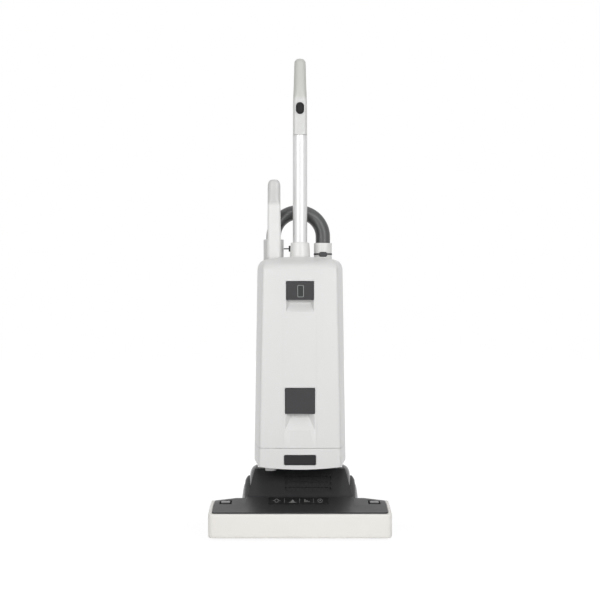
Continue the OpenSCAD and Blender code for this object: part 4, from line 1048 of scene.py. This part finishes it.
def faceted(ring, front):
    """Pares the front of a ring down to a flat face between two sloping ones."""
    for point in ring:
        side = max(abs(point[0] - WAND_MIDDLE) - FACET_HALF, 0)
        point[1] = max(point[1], front + side * FACET_SLOPE)
    return ring


def roof_under(x, y):
    """Height of the roof at a place, or of the well's rim where the wand goes in."""
    for name in ("door", "rear_housing"):
        start = Vector((x, y, ABOVE_ROOF)) * MM
        hit, spot = nodes[name].ray_cast(start, Vector((0, 0, -1)))[:2]
        if hit and spot.z > ROOF_LOW * MM:
            return spot.z / MM
    return WELL_RIM


bpy.context.view_layer.update()
rings = []
for z, half, front, back, square in through(WAND_STEPS, 4):
    ring = rounded_section(WAND_MIDDLE, half, front, back, square, z)
    if z < FACET_TOP:
        ring = faceted(ring, front + FACET_CUT)
    rings.append(ring)
for point in rings[0]:
    point[2] = roof_under(point[0], point[1]) + FOOT_GAP
piece("wand_handle", *skin(rings), grip_abs, "wand", ["wand_grip"])

# ---- Tube collar and handle tube ----
# The collar holds the tube in the roof and is clamped between door and rear housing.
# The tube is aluminium, polished and clear anodised.
dress("tube_collar", port_abs, 1.4, steps=3)

# Polished and anodised: a pale, nearly white gloss with faint lines along the tube, drawn
# wider than they are, to show
LINE_WIDTH, LINE_DRAWN = 0.6, 0.01
tube_alu, tree, place = new_material("anodised_tube", "chrome_tube")
drawn = add(tree, "ShaderNodeMapping", {"Vector": place, "Scale": (1, 1, LINE_DRAWN)})
polished = {"Vector": drawn, "Scale": 1 / (LINE_WIDTH * MM), "Detail": 3}
lines = add(tree, "ShaderNodeTexNoise", polished)
surface(
    tube_alu,
    lines,
    colour=linear("#e0e0e0"),
    roughness=(0.36, 0.42),
    others={"Metallic": 0.28},
)
dress("handle_tube", tube_alu, 0.3)

# ---- Main grip ----
# A two-shell grip of pale ABS on the tube's end, swept back at the top.
# The switch stands in a raised rim, over a sunk panel that closes the wiring.
TUBE_TOP = 1000
GRIP_LOW = TUBE_TOP - 14.4
# Height, half width, front, back and how square the section is
GRIP_STEPS = [
    (GRIP_LOW, 17.6, 10.2, 50.8, 4.2),
    (GRIP_LOW + 2, 17.7, 10, 51, 4.2),
    (TUBE_TOP + 36, 17.7, 10.2, 51.4, 4.2),
    (TUBE_TOP + 66, 17.5, 10.7, 51.7, 3.8),
    (TUBE_TOP + 84, 16.9, 11.4, 52.2, 2.8),
    (TUBE_TOP + 100, 16.1, 13.2, 53.2, 2.4),
    (TUBE_TOP + 120, 15.5, 18.6, 57.4, 2.3),
    (TUBE_TOP + 150, 14.9, 31, 69, 2.3),
    (TUBE_TOP + 163, 14.7, 38.6, 75.4, 2.3),
    (TUBE_TOP + 171, 14.2, 45, 79, 2.3),
    (TUBE_TOP + 176, 13.0, 51, 81, 2.2),
    (TUBE_TOP + 180, 10.4, 57.6, 82, 2.1),
    (TUBE_TOP + 182.4, 6.8, 64, 81.4, 2),
    (TUBE_TOP + 183.4, 2.4, 70, 78, 2),
]
PANEL_HALF, PANEL_TOP, PANEL_SINK = 9.9, TUBE_TOP + 30, 0.6
PANEL_EDGE, PANEL_END, PANEL_REACH = 0.8, 2, 20
FRONT_HALF, FRONT_SLOPE, FRONT_TOP, FRONT_CUT = 12, 1.1, TUBE_TOP + 76, 1
# The painted shade on the main grip starts at this height
GRIP_SHADE_FROM = TUBE_TOP + 78

# Pale ABS, a little duller than the shells, with painted shade that darkens it from where it
# sweeps back
main_grip_abs = moulded("main_grip_abs", "pale_grip", "#dadbd9", 0.46, 0.5, 0.03, 0.015)
painted_shade_above(main_grip_abs, GRIP_SHADE_FROM, "#cacbc6")
rings = []
for z, half, front, back, square in through(GRIP_STEPS, 5):
    ring = rounded_section(0, half, front, back, square, z)
    for point in ring:
        side = abs(point[0])
        if z < FRONT_TOP:
            pared = front + FRONT_CUT + max(side - FRONT_HALF, 0) * FRONT_SLOPE
            point[1] = max(point[1], pared)
        if side < PANEL_HALF and point[1] < PANEL_REACH and z < PANEL_TOP:
            from_side = min((PANEL_HALF - side) / PANEL_EDGE, 1)
            from_end = min((PANEL_TOP - z) / PANEL_END, 1)
            point[1] += PANEL_SINK * from_side * from_end
    rings.append(ring)
piece("main_grip", *skin(rings), main_grip_abs, "upper", ["grip"])

SWITCH_Z, SWITCH_W, SWITCH_H, SWITCH_FRONT = TUBE_TOP + 49, 10, 14.75, 8.6


def stadium(grow, y):
    """Upright ring with round ends, grown from the outline of the switch."""
    width, straight = SWITCH_W + grow, SWITCH_H - SWITCH_W
    ring = []
    for base, sign in ((0, 1), (180, -1)):
        for k in range(13):
            t = math.radians(base + k * 15)
            z = SWITCH_Z + sign * straight + width * math.sin(t)
            ring.append((width * math.cos(t), y, z))
    return ring


# Growth and place of the rim's section, from its foot inside to its foot outside
RIM_SECTION = [(0.35, 13), (0.35, 9.7), (1, 9.3), (2.3, 9.8), (3, 11.2), (3, 14)]
bezel = [stadium(grow, y) for grow, y in RIM_SECTION]
piece("switch_rim", *skin(bezel, caps=False, path_closed=True), shell_abs, "upper")

# Black ABS eroded matt, so that it stays dark under the lamps
button_abs = moulded("switch_abs", "black_plastic", "#0f0f10", 0.6, 0.5, 0.03, 0.05, shine=0.25)
dress("power_button", button_abs, 1.6, steps=3)
dress("switch_block", button_abs, 0.6)

# Rubber with rows of raised dots, and painted shade that darkens the rubber between them
DOT_PITCH = 2.2
pad_rubber, tree, place = new_material("dotted_pad", "black_plastic")
spaced = {"Vector": place, "Scale": 1 / (DOT_PITCH * MM), "Randomness": 0.0}
dots = add(tree, "ShaderNodeTexVoronoi", spaced)
surface(
    pad_rubber,
    dots,
    colour=(linear("#1a1a1b"), linear("#0c0c0d")),
    roughness=0.6,
    relief=(dots, -0.4, 1.0),
    others={"Specular IOR Level": 0.3},
)
PAD_HALF, PAD_CORNER = 6.6, 4
PAD_Z = (SWITCH_Z - 11.4, SWITCH_Z + 11.4)
rings = [
    plate_ring(PAD_HALF, *PAD_Z, grow, PAD_CORNER, SWITCH_FRONT - out)
    for out, grow in ((-0.1, 0), (0.2, 0), (0.5, -0.5))
]
piece("switch_pad", *skin(rings), pad_rubber, "power_button")

# ---- Cord hooks and gland ----
# The upper hook turns on a pin to drop the cord; the lower one is fixed to the rear housing.
# The cord would enter at the gland beside it. All three are black ABS.

# Black ABS with a plain satin grain
hook_abs = moulded("hook_abs", "black_plastic", "#2e2e2f", 0.42, 0.6, 0.03, 0.06)
for name in ("upper_hook", "lower_hook", "cord_gland"):
    dress(name, hook_abs, 1.2, steps=3)
dress("housing_screws", zinc, 0.4)

# ---- Door ----
# The pale front door closes the bag chamber: it is hung low on two tabs and held by two latches.
# A black seal runs round its edge, between it and the rear housing.
dress("door", shell_abs, 0.9)
dress("door_seal", seal_epdm, 0.3)

# ---- Latches and fill window ----
# Two dark grey pull latches on steel pins, each over a scoop for the fingers.
# The upper one frames a clear window, behind which a strip shows how full the bag is.

# Dark grey ABS with a fine grain, a little lighter than the press plate
latch_abs = moulded("latch_abs", "latch_dark", "#363537", 0.42, 0.45, 0.02, 0.05, shine=0.4)
dress("latch_upper", latch_abs, 1.2, steps=3)
dress("latch_lower", latch_abs, 1.2, steps=3)

# Smoked polycarbonate: smooth and dark, with a slight cloud from the strip behind it
STRIP_CLOUD = 20
window_pc, tree, place = new_material("window_pc", "window_clear")
behind = {"Vector": place, "Scale": 1 / (STRIP_CLOUD * MM), "Detail": 2}
cloud = add(tree, "ShaderNodeTexNoise", behind)
surface(
    window_pc,
    cloud,
    colour=(linear("#1d2120"), linear("#292e2c")),
    roughness=0.1,
    others={"Coat Weight": 0.2, "Coat Roughness": 0.03},
)
dress("fill_window", window_pc, 1.0)

WINDOW_X, WINDOW_Z, WINDOW_CORNER = (-6, 9), (577, 606), 2.8
# Growth and place of the trim's section, from inside the window to outside it
TRIM_SECTION = [(-1.6, 0.4), (-1.4, -0.9), (-0.6, -1.4), (0.2, -1.3), (0.6, -0.6), (0.6, 0.6)]
window_y = min(corner[1] for corner in nodes["fill_window"].bound_box) / MM
# Plated trim: a mid grey metal that picks out the edge of the window
rim_light = metal("bright_trim", "steel", "#868988", 0.34)
middle = sum(WINDOW_X) / 2
trim = []
for grow, y in TRIM_SECTION:
    corner = WINDOW_CORNER + grow
    ring = plate_ring(WINDOW_X[1] - middle, *WINDOW_Z, grow, corner, window_y + y)
    trim.append([(x + middle, y, z) for x, y, z in ring])
piece("window_trim", *skin(trim, caps=False, path_closed=True), rim_light, "latch_upper")

# ---- Studio ----
# A pale floor that fades into a white room, two soft lamps in front and weaker ones around.
# Lamps and room stay at a plain level, so that a colour renders about as it is written.
world = bpy.data.worlds.new("room")
bpy.context.scene.world = world
world.use_nodes = True
tree = world.node_tree
tree.nodes.clear()


def seen_directly(tree):
    """One where the camera looks, also in mirrors and through clear pieces."""
    rays = add(tree, "ShaderNodeLightPath").outputs
    straight = {0: rays["Is Camera Ray"], 1: rays["Is Transmission Ray"]}
    straight = add(tree, "ShaderNodeMath", straight, operation="MAXIMUM")
    seen = {0: straight, 1: rays["Is Glossy Ray"]}
    return add(tree, "ShaderNodeMath", seen, operation="MAXIMUM")


ROOM_LEVEL = 0.24
seen = {"Value": seen_directly(tree), "To Min": ROOM_LEVEL, "To Max": 1.0}
level = add(tree, "ShaderNodeMapRange", seen)
room = add(tree, "ShaderNodeBackground", {"Color": (1, 1, 1, 1), "Strength": level})
add(tree, "ShaderNodeOutputWorld", {"Surface": room})
bpy.context.scene.view_settings.view_transform = "Standard"

# Name, place, target, size and power in watts. The rear one only lights the back: kept out of
# reflections, it leaves no glare on the cover.
LAMPS = [
    ("left_softbox", (-1.8, -3.0, 1.7), (0, 0, 0.5), 1.4, 44),
    ("right_softbox", (1.8, -3.0, 1.7), (0, 0, 0.5), 1.4, 48),
    ("top_softbox", (0.2, -0.2, 3.0), (0, 0, 0.3), 1.4, 8),
    ("rear_softbox", (0.4, 3.2, 1.4), (0, 0, 0.5), 1.4, 30),
]
for name, place_at, target, size, watts in LAMPS:
    lamp = bpy.data.lights.new(name, "AREA")
    lamp.shape = "SQUARE"
    lamp.size = size
    lamp.energy = watts
    holder = bpy.data.objects.new(name, lamp)
    holder.location = place_at
    holder.visible_glossy = name != "rear_softbox"
    aim = Vector(target) - Vector(place_at)
    holder.rotation_euler = aim.to_track_quat("-Z", "Y").to_euler()
    bpy.context.scene.collection.objects.link(holder)

FLOOR_HALF, FLOOR_FADE, SHADOW_SHARE, FLOOR_GLOW = 9, (0.2, 0.9), 0.88, 1.06
floor_paint, tree, place = new_material("painted_floor", "")
reach = add(tree, "ShaderNodeVectorMath", {0: place}, operation="LENGTH").outputs["Value"]
fade = {
    "Value": reach,
    "From Min": FLOOR_FADE[0],
    "From Max": FLOOR_FADE[1],
    "To Min": SHADOW_SHARE,
    "To Max": 1,
}
fade = add(tree, "ShaderNodeMapRange", fade, interpolation_type="SMOOTHSTEP")
glowing = {0: seen_directly(tree), 1: fade}
glowing = add(tree, "ShaderNodeMath", glowing, operation="MULTIPLY")
paint = add(tree, "ShaderNodeBsdfDiffuse", {"Color": linear("#f4f4f4")})
glow = add(tree, "ShaderNodeEmission", {"Color": (1, 1, 1, 1), "Strength": FLOOR_GLOW})
mixed = add(tree, "ShaderNodeMixShader", {0: glowing, 1: paint, 2: glow})
add(tree, "ShaderNodeOutputMaterial", {"Surface": mixed})
signs = ((-1, -1), (1, -1), (1, 1), (-1, 1))
corners = [(x * FLOOR_HALF, y * FLOOR_HALF, 0) for x, y in signs]
floor_mesh = bpy.data.meshes.new("floor")
floor_mesh.from_pydata(corners, [], [(0, 1, 2, 3)])
floor_mesh.materials.append(floor_paint)
floor = bpy.data.objects.new("floor", floor_mesh)
bpy.context.scene.collection.objects.link(floor)
